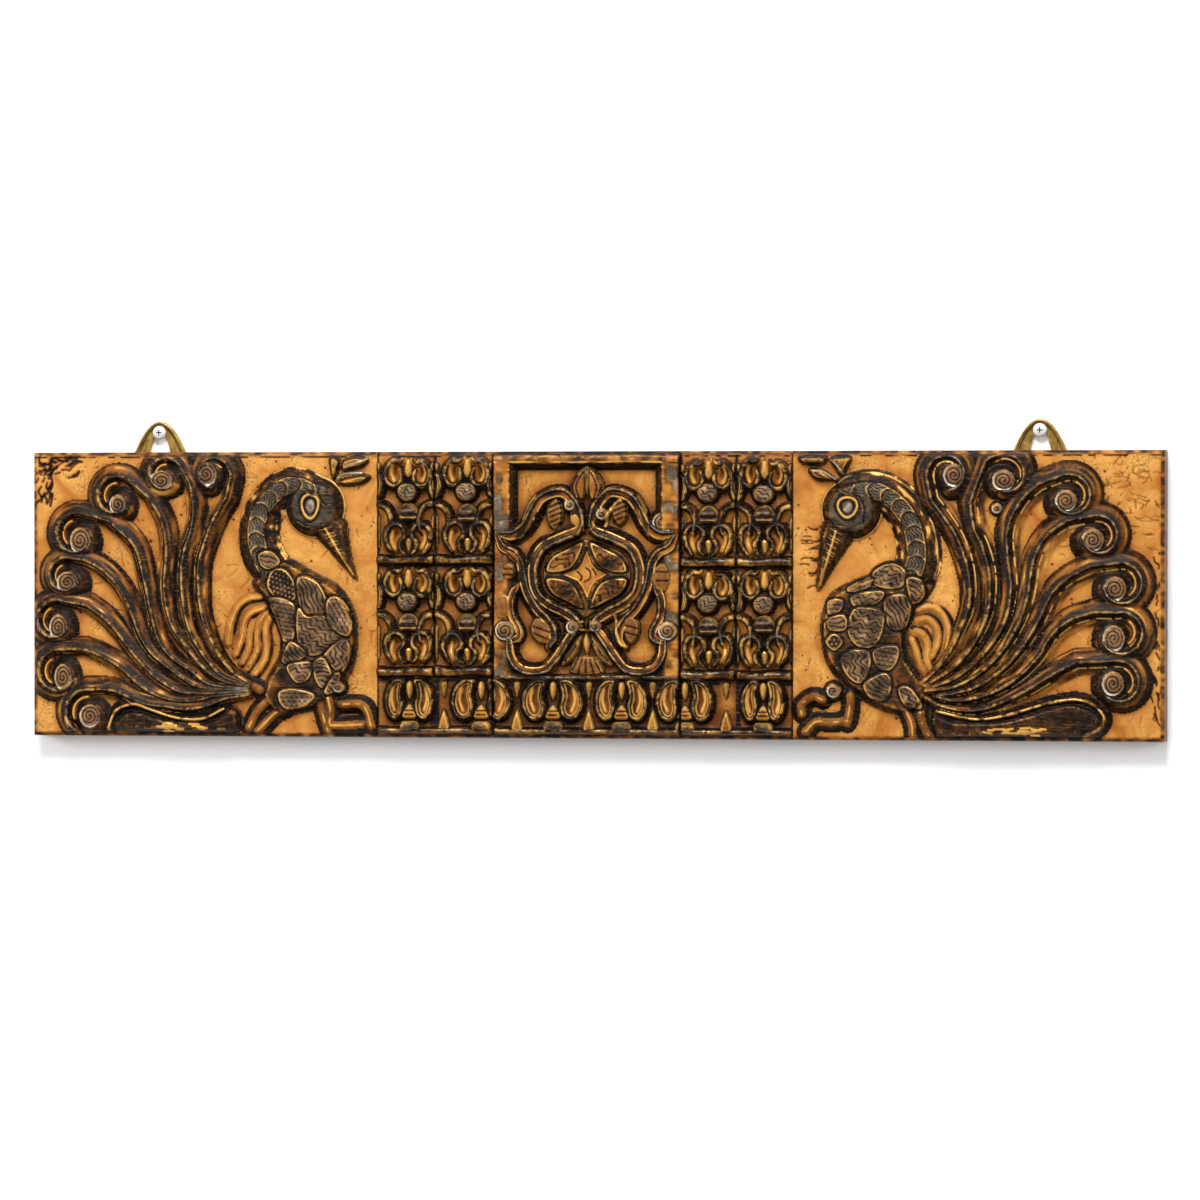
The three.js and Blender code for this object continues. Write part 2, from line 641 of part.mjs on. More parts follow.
// The hangers and screws stand on the panel's top edge, at the same distance from its middle
const hangerPlaces = [
  { side: 'left', x: hangerInset - panelWidth / 2 },
  { side: 'right', x: panelWidth / 2 - hangerInset },
];
const panelTop = panelHeight / 2;
const bandWidth = 3;
const openingTop = hangerRise - hangerRimWidth - bandWidth;
const archSteps = 4;
const wallScrewSides = 12;
const tangScrewSides = 8;
const tangScrewPlaces = [tangScrewInset - hangerWidth / 2, hangerWidth / 2 - tangScrewInset];

// The wall screw stands under the two flats that meet at the opening's top, a gap away from both
const flatAcross = hangerOpeningWidth / 2 / archSteps;
const flatFall = openingTop / archSteps ** 2;
const flatLean = Math.hypot(flatAcross, flatFall) / flatAcross;
const wallScrewDrop = openingTop - (fitGap + wallScrewShankRadius) * flatLean;

// A flat outline with x across and y up, pushed out from one depth to another, both from the wall
function pushed(shape, fromDepth, toDepth) {
  const geometry = new THREE.ExtrudeGeometry(shape, {
    depth: toDepth - fromDepth,
    bevelEnabled: false,
    curveSegments: archSteps,
  });
  geometry.rotateX(Math.PI / 2);
  geometry.translate(0, -fromDepth, 0);
  return solidOf(geometry);
}

// A pointed arch on straight feet: the two halves of a parabola over a plain rectangle
function archOutline(width, rise, foot) {
  const shape = new THREE.Shape();
  shape.moveTo(-width / 2, -foot);
  shape.lineTo(width / 2, -foot);
  shape.lineTo(width / 2, 0);
  shape.quadraticCurveTo(width / 4, rise, 0, rise);
  shape.quadraticCurveTo(-width / 4, rise, -width / 2, 0);
  shape.lineTo(-width / 2, -foot);
  return shape;
}

// A round solid turned about a line from the wall outwards: points are [radius, depth from the wall]
function spun(points, segments) {
  const profile = points.map(([radius, depth]) => new THREE.Vector2(radius, depth));
  const geometry = new THREE.LatheGeometry(profile, segments);
  geometry.rotateX(Math.PI);
  return solidOf(geometry);
}

// A countersunk tang screw. A clearance above zero gives the hole that it sits in, open at the back.
function tangScrewShape(clearance) {
  const head = tangScrewHeadRadius + clearance;
  const shank = tangScrewShankRadius + clearance;
  const throat = clearance > 0 ? [[0, -1], [head, -1], [head, 0]] : [[0, 0], [head, 0]];
  const stem = [
    [shank, tangScrewHeadHeight + clearance],
    [shank, tangScrewLength - tangScrewPoint],
    [0, tangScrewLength + clearance],
  ];
  return spun([...throat, ...stem], tangScrewSides);
}

function hangerShape() {
  const face = hangerThickness + hangerRimHeight;
  const plate = pushed(archOutline(hangerWidth, hangerRise, hangerTangLength), 0, hangerThickness);
  const rimOuter = pushed(archOutline(hangerWidth, hangerRise, 0), hangerThickness - 1, face);
  const rimInner = pushed(
    archOutline(hangerWidth - 2 * hangerRimWidth, hangerRise - hangerRimWidth, 1),
    hangerThickness - 2,
    face + 1,
  );
  const opening = pushed(archOutline(hangerOpeningWidth, openingTop, 0), -1, hangerThickness + 1);
  let hanger = plate.add(rimOuter.subtract(rimInner)).subtract(opening);
  for (const across of tangScrewPlaces) {
    hanger = hanger.subtract(tangScrewShape(fitGap).translate([across, 0, -tangScrewDrop]));
  }
  return hanger;
}

function wallScrewShape() {
  const seat = hangerThickness + hangerRimHeight + fitGap;
  const front = seat + wallScrewHeadHeight;
  const profile = [
    [0, -wallScrewReach],
    [wallScrewShankRadius, -wallScrewReach + wallScrewPoint],
    [wallScrewShankRadius, seat],
    [wallScrewHeadRadius, seat],
    [wallScrewHeadRadius * 0.97, seat + wallScrewHeadHeight * 0.4],
    [wallScrewHeadRadius * 0.72, seat + wallScrewHeadHeight * 0.83],
    [0, front],
  ];
  const screw = spun(profile, wallScrewSides);
  const slot = (across, up) => {
    const box = new THREE.BoxGeometry(across, crossSlotDepth * 2, up);
    box.translate(0, -front, 0);
    return solidOf(box);
  };
  const cross = slot(crossSlotLength, crossSlotWidth).add(slot(crossSlotWidth, crossSlotLength));
  return screw.subtract(cross);
}

// The plank: ground slab, carving kept inside the plank's chamfered edges, and recesses in the back
function panelShape() {
  const carving = join([
    ...leftFeathers.map(feather),
    ...rightFeathers.map(feather),
    ...bottomLeaves(),
    ...bird(leftBird),
    ...bird(rightBird),
    ...tileBlocks.flatMap(tiles),
    ...bottomRow(),
    ...centreFrame(),
    ...centreField(),
  ]);
  const envelope = chamferedSlab(groundLevel / 2, plankThickness);
  let panel = chamferedSlab(0, groundLevel).add(carving.intersect(envelope));
  for (const { x } of hangerPlaces) {
    const recess = pushed(
      archOutline(hangerWidth + 2 * fitGap, 1, hangerTangLength + fitGap),
      -1,
      hangerThickness + fitGap,
    );
    panel = panel.subtract(recess.translate([x, 0, panelTop]));
    for (const across of tangScrewPlaces) {
      panel = panel.subtract(tangScrewShape(fitGap).translate([x + across, 0, panelTop - tangScrewDrop]));
    }
  }
  return panel;
}

function named(name, solid, material) {
  const mesh = new THREE.Mesh(geometryOf(solid), material);
  mesh.name = name;
  return mesh;
}

const model = new THREE.Group();
model.add(named('panel', panelShape(), wood));

for (const { side, x } of hangerPlaces) {
  const hanger = named(`hanger_${side}`, hangerShape(), brass);
  hanger.position.set(x, 0, panelTop);
  const wallScrew = named(`wall_screw_${side}`, wallScrewShape(), whiteEnamel);
  wallScrew.position.set(x, 0, panelTop + wallScrewDrop);
  model.add(hanger, wallScrew);
  tangScrewPlaces.forEach((across, k) => {
    const screw = named(`tang_screw_${side}_${k + 1}`, tangScrewShape(0), zincSteel);
    screw.position.set(x + across, 0, panelTop - tangScrewDrop);
    model.add(screw);
  });
}

export default model;
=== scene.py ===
# %% [markdown]
# # A carved wall panel
# The real panel is one long plank. Two birds with scrolled tail feathers face each other across a
# block of small tiles, and a framed medallion sits in the middle. The hollows are stained nearly
# black, the flat ground is rubbed back to golden wood, and the ridges have caught silver and gold
# wax. Two brass loops and four small screws carry it, and two white screws hold it to the wall.
#
# The plank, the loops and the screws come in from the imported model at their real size, so every
# piece made below is fitted to them.

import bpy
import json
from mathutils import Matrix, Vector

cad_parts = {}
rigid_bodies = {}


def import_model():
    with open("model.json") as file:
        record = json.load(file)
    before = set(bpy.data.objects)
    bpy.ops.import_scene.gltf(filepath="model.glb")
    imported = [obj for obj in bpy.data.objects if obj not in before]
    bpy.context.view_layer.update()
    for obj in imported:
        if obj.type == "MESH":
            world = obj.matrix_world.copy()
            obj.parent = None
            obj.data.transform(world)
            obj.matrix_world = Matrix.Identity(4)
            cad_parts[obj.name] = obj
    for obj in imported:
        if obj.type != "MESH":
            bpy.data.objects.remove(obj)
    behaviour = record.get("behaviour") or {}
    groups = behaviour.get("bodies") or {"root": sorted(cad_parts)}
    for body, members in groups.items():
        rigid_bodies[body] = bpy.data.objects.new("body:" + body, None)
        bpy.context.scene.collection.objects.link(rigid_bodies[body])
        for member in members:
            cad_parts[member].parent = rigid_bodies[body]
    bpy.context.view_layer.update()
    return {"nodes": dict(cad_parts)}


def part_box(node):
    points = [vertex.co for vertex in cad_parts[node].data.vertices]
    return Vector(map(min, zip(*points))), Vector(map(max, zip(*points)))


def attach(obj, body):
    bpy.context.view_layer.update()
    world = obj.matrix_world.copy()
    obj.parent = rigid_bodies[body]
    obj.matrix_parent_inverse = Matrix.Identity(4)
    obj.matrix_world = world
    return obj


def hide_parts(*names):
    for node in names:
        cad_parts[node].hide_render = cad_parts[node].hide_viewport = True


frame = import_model()
print("solids loaded:", sorted(frame["nodes"]))

# %% [markdown]
# ## Sizes
# Carvers square up a drawing before they cut it, so the face is laid out on a grid: 400 units from
# the left edge to the right and 100 units from the top edge down. One unit is 2.3 mm. Heights are
# shares of the ground's depth: 0 is the flat ground and 1 is the plank's first face.

# %% Sizes and the carver's grid
import json
import math

import bmesh
import bpy
import numpy as np
from mathutils import Vector

panel_low, panel_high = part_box("panel")
grid_across = 400
grid_down = 100
unit = (panel_high.x - panel_low.x) / grid_across
unit_down = (panel_high.z - panel_low.z) / grid_down
ground_depth = 0.009
edge_round = 0.0034
face_depth = panel_high.y - panel_low.y
ground_level = face_depth - ground_depth
joint_depth = 0.016
run_out = 4.2
high_forms = 0.85
usual_groove = 0.4
print(f"one grid unit is {unit * 1000:.2f} mm, the ground lies {ground_level * 1000:.1f} mm off the wall")


# %% [markdown]
# ## Lines on the face
# Every ridge, groove and outline starts as a few listed places, which a smooth line runs
# through. The curls at the feathers' ends are spirals: a centre, two radii and two angles.

# %% Smooth lines, spirals and rings
def smooth(points, spacing=1.0, closed=False):
    """A Catmull-Rom line through the points, with places about one spacing apart."""
    points = np.asarray(points, float)
    if closed:
        before, after = points[-1], points[:2]
    else:
        before, after = 2 * points[0] - points[1], [2 * points[-1] - points[-2]]
    full = np.vstack([before, points, after])
    places = []
    for a, b, c, d in zip(full[:-3], full[1:-2], full[2:-1], full[3:]):
        count = max(2, int(np.linalg.norm(c - b) / spacing))
        t = np.linspace(0, 1, count, endpoint=False)[:, None]
        bend, twist = 2 * a - 5 * b + 4 * c - d, 3 * b - a - 3 * c + d
        places.append(0.5 * (2 * b + (c - a) * t + bend * t**2 + twist * t**3))
    places.append(points[:1] if closed else full[-2][None])
    return np.vstack(places)


def spiral(centre, radii, angles, spacing=1.0):
    """Radius and angle run evenly from start to end; angles go counter-clockwise from the right."""
    count = int(abs(math.radians(angles[1] - angles[0])) * max(radii) / spacing) + 2
    angle = np.radians(np.linspace(*angles, count))
    radius = np.linspace(*radii, count)
    return np.stack([centre[0] + radius * np.cos(angle), centre[1] - radius * np.sin(angle)], 1)


def egg(centre, half_width, half_height, lean=0.0, taper=0.25, count=30):
    """A closed drop: it narrows towards its top by the taper, and its top leans to one side."""
    angle = np.linspace(0, 2 * np.pi, count + 1)
    rise = np.cos(angle)
    across = np.sin(angle) * half_width * (1 - taper * rise) + lean * (rise + 1) / 2
    return np.stack([centre[0] + across, centre[1] - half_height * rise], 1)


print("a quarter turn of a curl has", len(spiral((0, 0), (7, 6), (0, 90))), "places")


# %% [markdown]
# ## The relief
# Carving in a plank never undercuts here, so each field of it can be kept as a height for every
# place on a fine mesh of squares. Forms are laid on like clay: where a new form stands higher than
# what is there, it takes its place. Along with the height, each place remembers how it is finished:
# *tone* runs from black stain (0) to bare golden wood (1), and *silver* and *gold* say where the wax
# has caught.

# %% The relief and what can be done to it
def clamp(values):
    """The values, held between 0 and 1."""
    return np.clip(values, 0, 1)


def peak(distance, width):
    """1 on a line, and next to nothing at twice the width from it."""
    return np.exp(-((distance / width) ** 2))


def blur(values, reach):
    """Three passes of a box filter come close to a soft round brush."""
    width = max(1, round(reach))
    for axis in (0, 1) * 3:
        pad = [(0, 0), (0, 0)]
        pad[axis] = (width + 1, width)
        run = np.cumsum(np.pad(values, pad, mode="edge"), axis=axis)
        low = np.arange(values.shape[axis])
        far, near = np.take(run, low + 2 * width + 1, axis=axis), np.take(run, low, axis=axis)
        values = (far - near) / (2 * width + 1)
    return values


stain = {"tone": 0.0, "silver": 0.0, "gold": 0.0}


class Relief:
    def __init__(self, left, right, cell):
        self.cell = cell
        self.u = np.linspace(left, right, int(round((right - left) / cell)) + 1)
        self.v = np.linspace(0, grid_down, int(round(grid_down / cell)) + 1)
        self.height = np.zeros((len(self.v), len(self.u)))
        self.tone = np.ones_like(self.height)
        self.silver = np.zeros_like(self.height)
        self.gold = np.zeros_like(self.height)

    def window(self, low, high):
        """The part of the field between two corners, with its places across and down."""
        rows = slice(*np.searchsorted(self.v, (low[1], high[1])))
        columns = slice(*np.searchsorted(self.u, (low[0], high[0])))
        across, down = np.meshgrid(self.u[columns], self.v[rows])
        return (rows, columns), across, down

    def trace(self, path, reach):
        """Distance from a line, negative on the left of its travel, and how far along it, 0 to 1."""
        path = np.asarray(path, float)
        place, across, down = self.window(path.min(0) - reach, path.max(0) + reach)
        near = np.full(across.shape, 1e3)
        side = np.ones(across.shape)
        along = np.zeros(across.shape)
        if not across.size:
            return place, near, along
        steps = np.linalg.norm(np.diff(path, axis=0), axis=1)
        starts = np.cumsum(steps) - steps
        for a, b, step, start in zip(path[:-1], path[1:], steps, starts):
            if step < 1e-9:
                continue
            low, high = np.minimum(a, b) - reach, np.maximum(a, b) + reach
            rows = slice(*np.searchsorted(down[:, 0], (low[1], high[1])))
            columns = slice(*np.searchsorted(across[0], (low[0], high[0])))
            du, dv = across[rows, columns] - a[0], down[rows, columns] - a[1]
            dx, dy = (b - a) / step
            t = np.clip(du * dx + dv * dy, 0, step)
            distance = np.hypot(du - t * dx, dv - t * dy)
            closer = distance < near[rows, columns]
            near[rows, columns][closer] = distance[closer]
            side[rows, columns][closer] = np.where(dx * dv - dy * du >= 0, 1, -1)[closer]
            along[rows, columns][closer] = ((start + t) / steps.sum())[closer]
        return place, near * side, along

    def inside(self, outline, reach=5.0):
        """How far inside a closed outline each place lies, negative outside it."""
        outline = np.asarray(outline, float)
        closed = np.vstack([outline, outline[:1]])
        place, distance, _ = self.trace(closed, reach)
        _, across, down = self.window(closed.min(0) - reach, closed.max(0) + reach)
        odd = np.zeros(across.shape, bool)
        for (ax, ay), (bx, by) in zip(closed[:-1], closed[1:]):
            if ay != by:
                crosses = (ay > down) != (by > down)
                odd ^= crosses & (across < ax + (down - ay) * (bx - ax) / (by - ay))
        return place, np.where(odd, 1, -1) * np.abs(distance), across, down

    def lay(self, place, height, tone=None, silver=0.0, gold=0.0):
        """A form takes the place of what is lower."""
        over = height > self.height[place] + 1e-6
        self.height[place][over] = height[over]
        for layer, value in ((self.tone, tone), (self.silver, silver), (self.gold, gold)):
            if value is not None:
                layer[place][over] = np.broadcast_to(value, height.shape)[over]

    def paint(self, place, weight, tone=None, silver=None, gold=None):
        """Stain or wax over what is there, by a weight from 0 to 1."""
        for layer, value in ((self.tone, tone), (self.silver, silver), (self.gold, gold)):
            if value is not None:
                layer[place] += (value - layer[place]) * weight

    def cut(self, path, width, depth, **finish):
        """A groove along a line, stained unless told otherwise; a negative depth makes a raised thread."""
        place, distance, _ = self.trace(path, 3 * width + 0.5)
        weight = peak(distance, width)
        self.height[place] -= depth * weight
        self.paint(place, weight, **(finish or stain))


print(f"a groove is {2 * usual_groove * unit * 1000:.1f} mm wide at its usual setting")


# %% [markdown]
# ## Feathers
# Each tail feather is one long ridge. On its outer side a narrow band drops into a sloping bank that
# runs down to the ground, and on its inner side a dark channel turns into a soft slope. The feathers
# start narrow at the tail's root, widen, and end in a curl that holds a round button with a spiral
# cut into it. One cross-section, read off along the ridge, makes all of them.

# %% The feather's section and finish
feather_section = {
    "at": (-5.0, -3.9, -2.4, -1.3, -0.75, -0.38, 0.0, 0.38, 0.8, 1.4, 3.0, 4.8),
    "height": (0.0, 0.18, 0.3, 0.46, 0.7, 0.95, 1.0, 0.95, 0.84, 0.78, 0.56, 0.0),
    "tone": (0.98, 0.64, 0.46, 0.38, 0.06, 0.0, 0.2, 0.0, 0.04, 0.26, 0.34, 0.3),
}
feather_widths = ((0, 0.16, 0.42, 0.75, 0.9, 1), (0.34, 0.55, 0.95, 1.05, 1.0, 0.8))
# Listed per tail, 1 for the left bird's tail and -1 for the right's: how the outer bank narrows round the
# curl, and how much gold its foot has kept.
bank_shares = {1: (1, 0.62, 0.42, 0.2, 0.16), -1: (1, 1, 1, 0.92, 0.7)}
foot_gold = {1: 0.7, -1: 1.0}
even = ((0, 1), (1, 1))
chance = np.random.default_rng(4)


def moved(points, across, down=0, turn=1):
    """Places moved across and down, and mirrored first where turn is -1."""
    return [(across + turn * u, down + v) for u, v in points]


def line_length(path):
    """How long a line is, in grid units."""
    return np.linalg.norm(np.diff(path, axis=0), axis=1).sum()


def dashes(along, length, density=0.5):
    """A broken line: rough touches of wax with gaps between them."""
    knots = chance.random(max(4, int(length / 1.7)))
    level = np.interp(along * (len(knots) - 1), np.arange(len(knots)), knots)
    return clamp((level - 1 + density) * 5)


def streaks(along, length, s, pitch=(6.5, 0.9)):
    """Patchy stain that runs with the stroke of the chisel, from 0 to 1."""
    rows = int(length / pitch[0]) + 3
    columns = int(2 * np.abs(s).max(initial=1) / pitch[1]) + 4
    table = chance.random((rows, columns))
    x = np.clip(along * length / pitch[0], 0, rows - 2)
    y = np.clip(s / pitch[1] + columns / 2, 0, columns - 2)
    i, j = x.astype(int), y.astype(int)
    x, y = ((t * t * (3 - 2 * t)) for t in (x - i, y - j))
    near = table[i, j] * (1 - x) + table[i + 1, j] * x
    far = table[i, j + 1] * (1 - x) + table[i + 1, j + 1] * x
    return near * (1 - y) + far * y


def mottle(across, down, pitch=(2.4, 1.2)):
    """The same patchy stain on flat places, spread across and down."""
    if not across.size:
        return across
    low, reach = across.min(), max(across.max() - across.min(), 1e-6)
    return streaks((across - low) / reach, reach, down - down.mean(), pitch)


def stroke(relief, path, section, hand=1, widths=even, top=1.0, patchy=0.9, silver=1.0, gold=0.8,
           outer=even):
    """One strand: a section swept along a line.

    Hand is 1 where the section's far side is on the right of the travel and -1 on the left.
    Widths scales the section along the way, and outer scales its near side once more.
    """
    length = line_length(path)
    widest = max(widths[1])
    place, side, along = relief.trace(path, max(-section["at"][0], section["at"][-1]) * widest + 0.2)
    s = side * hand / np.interp(along, *widths)
    s = np.where(s < 0, s / np.interp(along, *outer), s)
    height, tone = (np.interp(s, section["at"], section[key]) for key in ("height", "tone"))
    patch, bright = streaks(along, length, s), dashes(along, length, 0.8)
    sloping = clamp(np.abs(s) * 1.5 - 1.1) * (height > 0.04)
    thread = clamp(1.3 - np.abs(side) / 0.34)
    glint = clamp((patch - 0.79) * 5) * sloping * gold
    relief.lay(place, top * height, tone + sloping * (patch - 0.55) * patchy * clamp(1.4 - tone),
               silver=thread * (0.26 + 0.42 * bright) * silver,
               gold=clamp(0.8 * glint + 0.6 * gold * thread * (1 - bright)))
    return place, s, along


def feather(relief, shaft, curl, hand):
    """A shaft and its curl. Hand is 1 where the bank lies on the right of the travel from the root."""
    root, end = smooth(shaft), spiral(*curl)
    path = np.vstack([root, end])
    length = line_length(path)
    share = line_length(root) / length
    turns = [share + (1 - share) * turn for turn in (0, 0.25, 0.5)]
    outer = ((0, *turns, 1), bank_shares[hand])
    place, s, along = stroke(relief, path, feather_section, hand, feather_widths, outer=outer)
    curled = clamp((along * length - line_length(root)) / 6)
    shade = curled * clamp(-s - 0.6) * clamp(4.6 + s) * (relief.height[place] > 0.03)
    relief.paint(place, 0.75 * shade, tone=0.3)
    foot = peak(s + 2.2, 0.3) * dashes(along, length, 0.8)
    relief.paint(place, foot_gold[hand] * (foot * (relief.height[place] > 0.2)), gold=0.85)


def button(relief, centre, radius=3.2, skirt=3.3, top=0.74, turn=1.0, away=(0, 0)):
    """A round or oval button with a spiral cut into its face, gold painted on its upper left as a
    highlight, and a dark wall round it that is stain, and painted shade in the pocket beside a curl.
    """
    centre, radii = np.asarray(centre, float), np.broadcast_to(radius, 2)
    size = radii.mean()
    place, across, down = relief.window(centre - radii.max() - skirt - 2, centre + radii.max() + skirt + 2)
    du, dv = (across - centre[0]) * size / radii[0], (down - centre[1]) * size / radii[1]
    r = np.hypot(du, dv)
    shift = np.hypot(du - away[0], dv - away[1])
    # the wall round the face is stained dark, and the away shift widens it into the pocket beside a curl,
    # where its dark is painted shade as well as stain
    wall = top * clamp(1 - (shift - size) / skirt)
    dome = top * (1.02 - 0.16 * (r / size) ** 2)
    on_face = r < size
    turned = (r / 1.3 - turn * np.arctan2(dv, du) / (2 * np.pi)) % 1
    cut = clamp(1.3 - np.abs(turned - 0.5) * 6) * (r < size - 0.7)
    rim = peak(r - size + 0.3, 0.32) * clamp(0.5 - (du - dv) / (2 * size))
    # painted highlight: gold on the upper left of the button's face, where light from the upper left would
    # catch it
    painted_highlight = clamp(0.5 - (du + dv) / (1.6 * size))
    relief.lay(place, np.where(on_face, dome - 0.07 * cut, wall),
               np.where(on_face, 0.46 * (1 - cut), 0.16 - 0.08 * wall),
               silver=np.where(on_face, 0.5 * (1 - cut) + 0.6 * rim, 0),
               gold=np.where(on_face, (0.08 + 0.28 * painted_highlight) * (1 - cut), 0))


def arc_thread(relief, centre, radius, angles, raise_to=0.66):
    """The short gold thread that follows a curl on its inner side."""
    path = spiral(centre, (radius, radius * 0.92), angles)
    place, side, _ = relief.trace(path, 2.4)
    off = np.abs(side)
    gold = 0.75 * clamp(1.2 - off / 0.36)
    relief.lay(place, raise_to * clamp(1 - off / 1.5), 0.45, gold=gold)


feather_span = feather_section["at"][-1] - feather_section["at"][0]
print(f"a feather's section is {feather_span * unit * 1000:.1f} mm wide")


# %% [markdown]
# The two tails were cut by eye, not from one drawing, so each feather has its own line: a few places
# from the root up to the curl, then the curl's centre, radii and angles, then its button.

# %% The tail feathers' lines
left_feathers = [
    ([(79.5, 81.4), (73.2, 77.4), (68.7, 72.3), (65.2, 65.9), (62.3, 58), (61, 50), (60.9, 40),
      (62.5, 33.5), (66.1, 24), (70.8, 16)],
     ((66, 8), (6.5, 4.3), (-8, 255)), (63.6, 7.8), (3.9, 4.2)),
    ([(79.4, 82), (70, 79), (65.2, 74.6), (61, 69.1), (57.9, 63.4), (55.6, 54.8), (54.7, 44), (55.6, 35),
      (58, 28), (59.1, 20), (57.8, 11)],
     ((48.7, 8.3), (6.5, 4), (36, 310)), (47.3, 10), (4.2, 3.5)),
    ([(79.2, 82.5), (68.7, 80), (62.3, 75.5), (55.9, 67.9), (51.5, 61.5), (49.2, 54.1), (48.5, 46),
      (49.2, 34), (47.5, 24), (42.9, 16)],
     ((31, 15.5), (7.2, 5.4), (48, 308)), (31.5, 18.4), (3.1, 3.5)),
    ([(79, 83), (65, 81.6), (58, 76.8), (51.2, 72.3), (46.4, 66), (43.6, 56), (41.6, 46.5), (38.3, 34.4),
      (33.8, 28.9), (28.1, 24.1)],
     ((16.5, 29), (7.7, 5.7), (77, 302)), (17.8, 31.1), (3.8, 4.6)),
    ([(78.8, 83.5), (62.3, 82.8), (55.9, 80), (49.6, 75.5), (43.8, 70.7), (39.6, 64.4), (36.4, 56),
      (32.2, 47.8), (26.1, 41.5), (19.8, 38.1)],
     ((12.8, 43.8), (6.8, 4.4), (77, 310)), (13.2, 45.9), (4, 3.9)),
    ([(78.6, 84), (57.5, 84.8), (48.9, 81.6), (43, 77.1), (37, 70.7), (31.6, 63.7), (26.5, 58.3),
      (20.4, 54.1)],
     ((9, 59.5), (7.4, 5), (76, 319)), (9.8, 61.8), (3.4, 4.6)),
    ([(78.8, 84.7), (67.1, 85.7), (60.4, 87.3), (52.8, 87.4), (45.4, 85.4), (38.9, 81.4), (32.5, 75.8),
      (25.8, 72), (19.1, 69.5)],
     ((10, 77.5), (7.8, 5.8), (82, 324)), (11.5, 79.3), (3.2, 4.7)),
    ([(79, 85.4), (70.6, 86.7), (63, 89.5), (56, 90.4), (49.6, 89.6), (43.6, 89), (37.9, 87.3),
      (31.3, 84.4), (25.5, 83.6)],
     ((20.5, 92), (8.3, 7.4), (80, 231)), (21.3, 93), (3.9, 4.1)),
]
right_feathers = [
    ([(316.5, 80.5), (321, 76.5), (326.5, 69.5), (330, 62), (333, 54), (333.4, 46), (332, 38), (329, 30),
      (324.5, 23), (320, 17)],
     ((325.5, 8.3), (7.2, 5.3), (197, -81)), (327.9, 8.6), (3.8, 4)),
    ([(320, 80), (326.5, 76), (332.5, 70), (337, 62.5), (340, 54), (340.2, 43), (338, 34), (334.8, 26.5),
      (333.4, 18)],
     ((345.5, 8.8), (8.4, 5.2), (145, -96)), (345, 10.4), (4, 3.6)),
    ([(320.5, 81.5), (328, 78.7), (335.5, 73), (341.5, 66), (345.8, 58), (347.6, 48), (346.6, 38),
      (346.4, 27), (351, 17.3), (357, 11.6)],
     ((368, 15.8), (7.7, 5.6), (115, -139)), (366.4, 17.4), (3.8, 3.8)),
    ([(318, 83), (328, 81.5), (337, 76.7), (344.5, 69), (350, 60), (353.3, 50), (355.6, 37), (360.3, 29),
      (366.5, 24.3)],
     ((377.5, 29.5), (7.4, 5.2), (112, -154)), (375.6, 30.9), (3.9, 4)),
    ([(323, 84.5), (334, 82.2), (343, 76.8), (350.5, 69), (357, 58.5), (361.4, 49.6), (367, 44),
      (375, 39.8)],
     ((385.5, 46), (7.6, 6), (108, -168)), (383.2, 47.6), (3.9, 4.2)),
    ([(321, 84.8), (329, 86.2), (339, 84.2), (348.5, 79.2), (356.5, 71.5), (361.5, 63.5), (368, 58.2),
      (376, 55.5)],
     ((385.5, 62.7), (7.3, 7), (101, -153)), (382.8, 64.6), (3.8, 4.6)),
    ([(318, 85.3), (325, 88.5), (335, 89.5), (345, 86.5), (354, 81.8), (362, 76.8), (370, 72.6)],
     ((384.5, 79.7), (7.8, 6), (105, -125)), (382.6, 80), (3.8, 4.2)),
]
print(len(left_feathers), "feathers on the left and", len(right_feathers), "on the right")


def tail(relief, feathers, hand):
    """All the feathers of one bird, with the button that each curl holds and the dark pocket beside it,
    whose dark is stain and painted shade.
    """
    for shaft, curl, _, _ in feathers:
        feather(relief, shaft, curl, hand)
    for _, (centre, radii, angles), disc, disc_radii in feathers:
        button(relief, disc, disc_radii, turn=hand, away=(1.2 * hand, 0.4))
        start = angles[0] + 0.34 * (angles[1] - angles[0])
        arc_thread(relief, centre, radii[0] - 2.6, (start - 40 * hand, start + 70 * hand))


# %% [markdown]
# ## Flat-topped forms
# Most of the rest is cut the same way: an outline on the ground, a wall that slopes in, and a top
# that is slightly domed. Plates on the birds' bodies are small forms of this kind with a groove
# round them, and each has one of a few cut patterns: dots, ribs, scales or wavy lines.

# %% Forms, plates and their patterns
def form(relief, points, top=0.8, wall=3.0, dome=0.12, tone=0.3, wall_tone=0.08, silver=0.15, rim=0.5,
         spacing=1.0):
    """A raised form on a smooth outline, with a thin line of gold on its rim and at its foot."""
    outline = smooth(points, spacing, closed=True)[:-1]
    place, depth, across, down = relief.inside(outline, 1.5)
    reach = max(depth.max(initial=0), wall + 0.1)
    height = top * clamp(depth / wall) ** 0.8 + dome * clamp((depth - wall) / (reach - wall))
    on_top = depth > wall
    line = peak(depth - wall, 0.4)
    foot = peak(depth - 0.35, 0.35)
    relief.lay(place, np.where(depth > 0, height, -1), np.where(on_top, tone, wall_tone),
               silver=silver * on_top, gold=clamp(rim * line + 0.35 * foot))
    return place, across, down


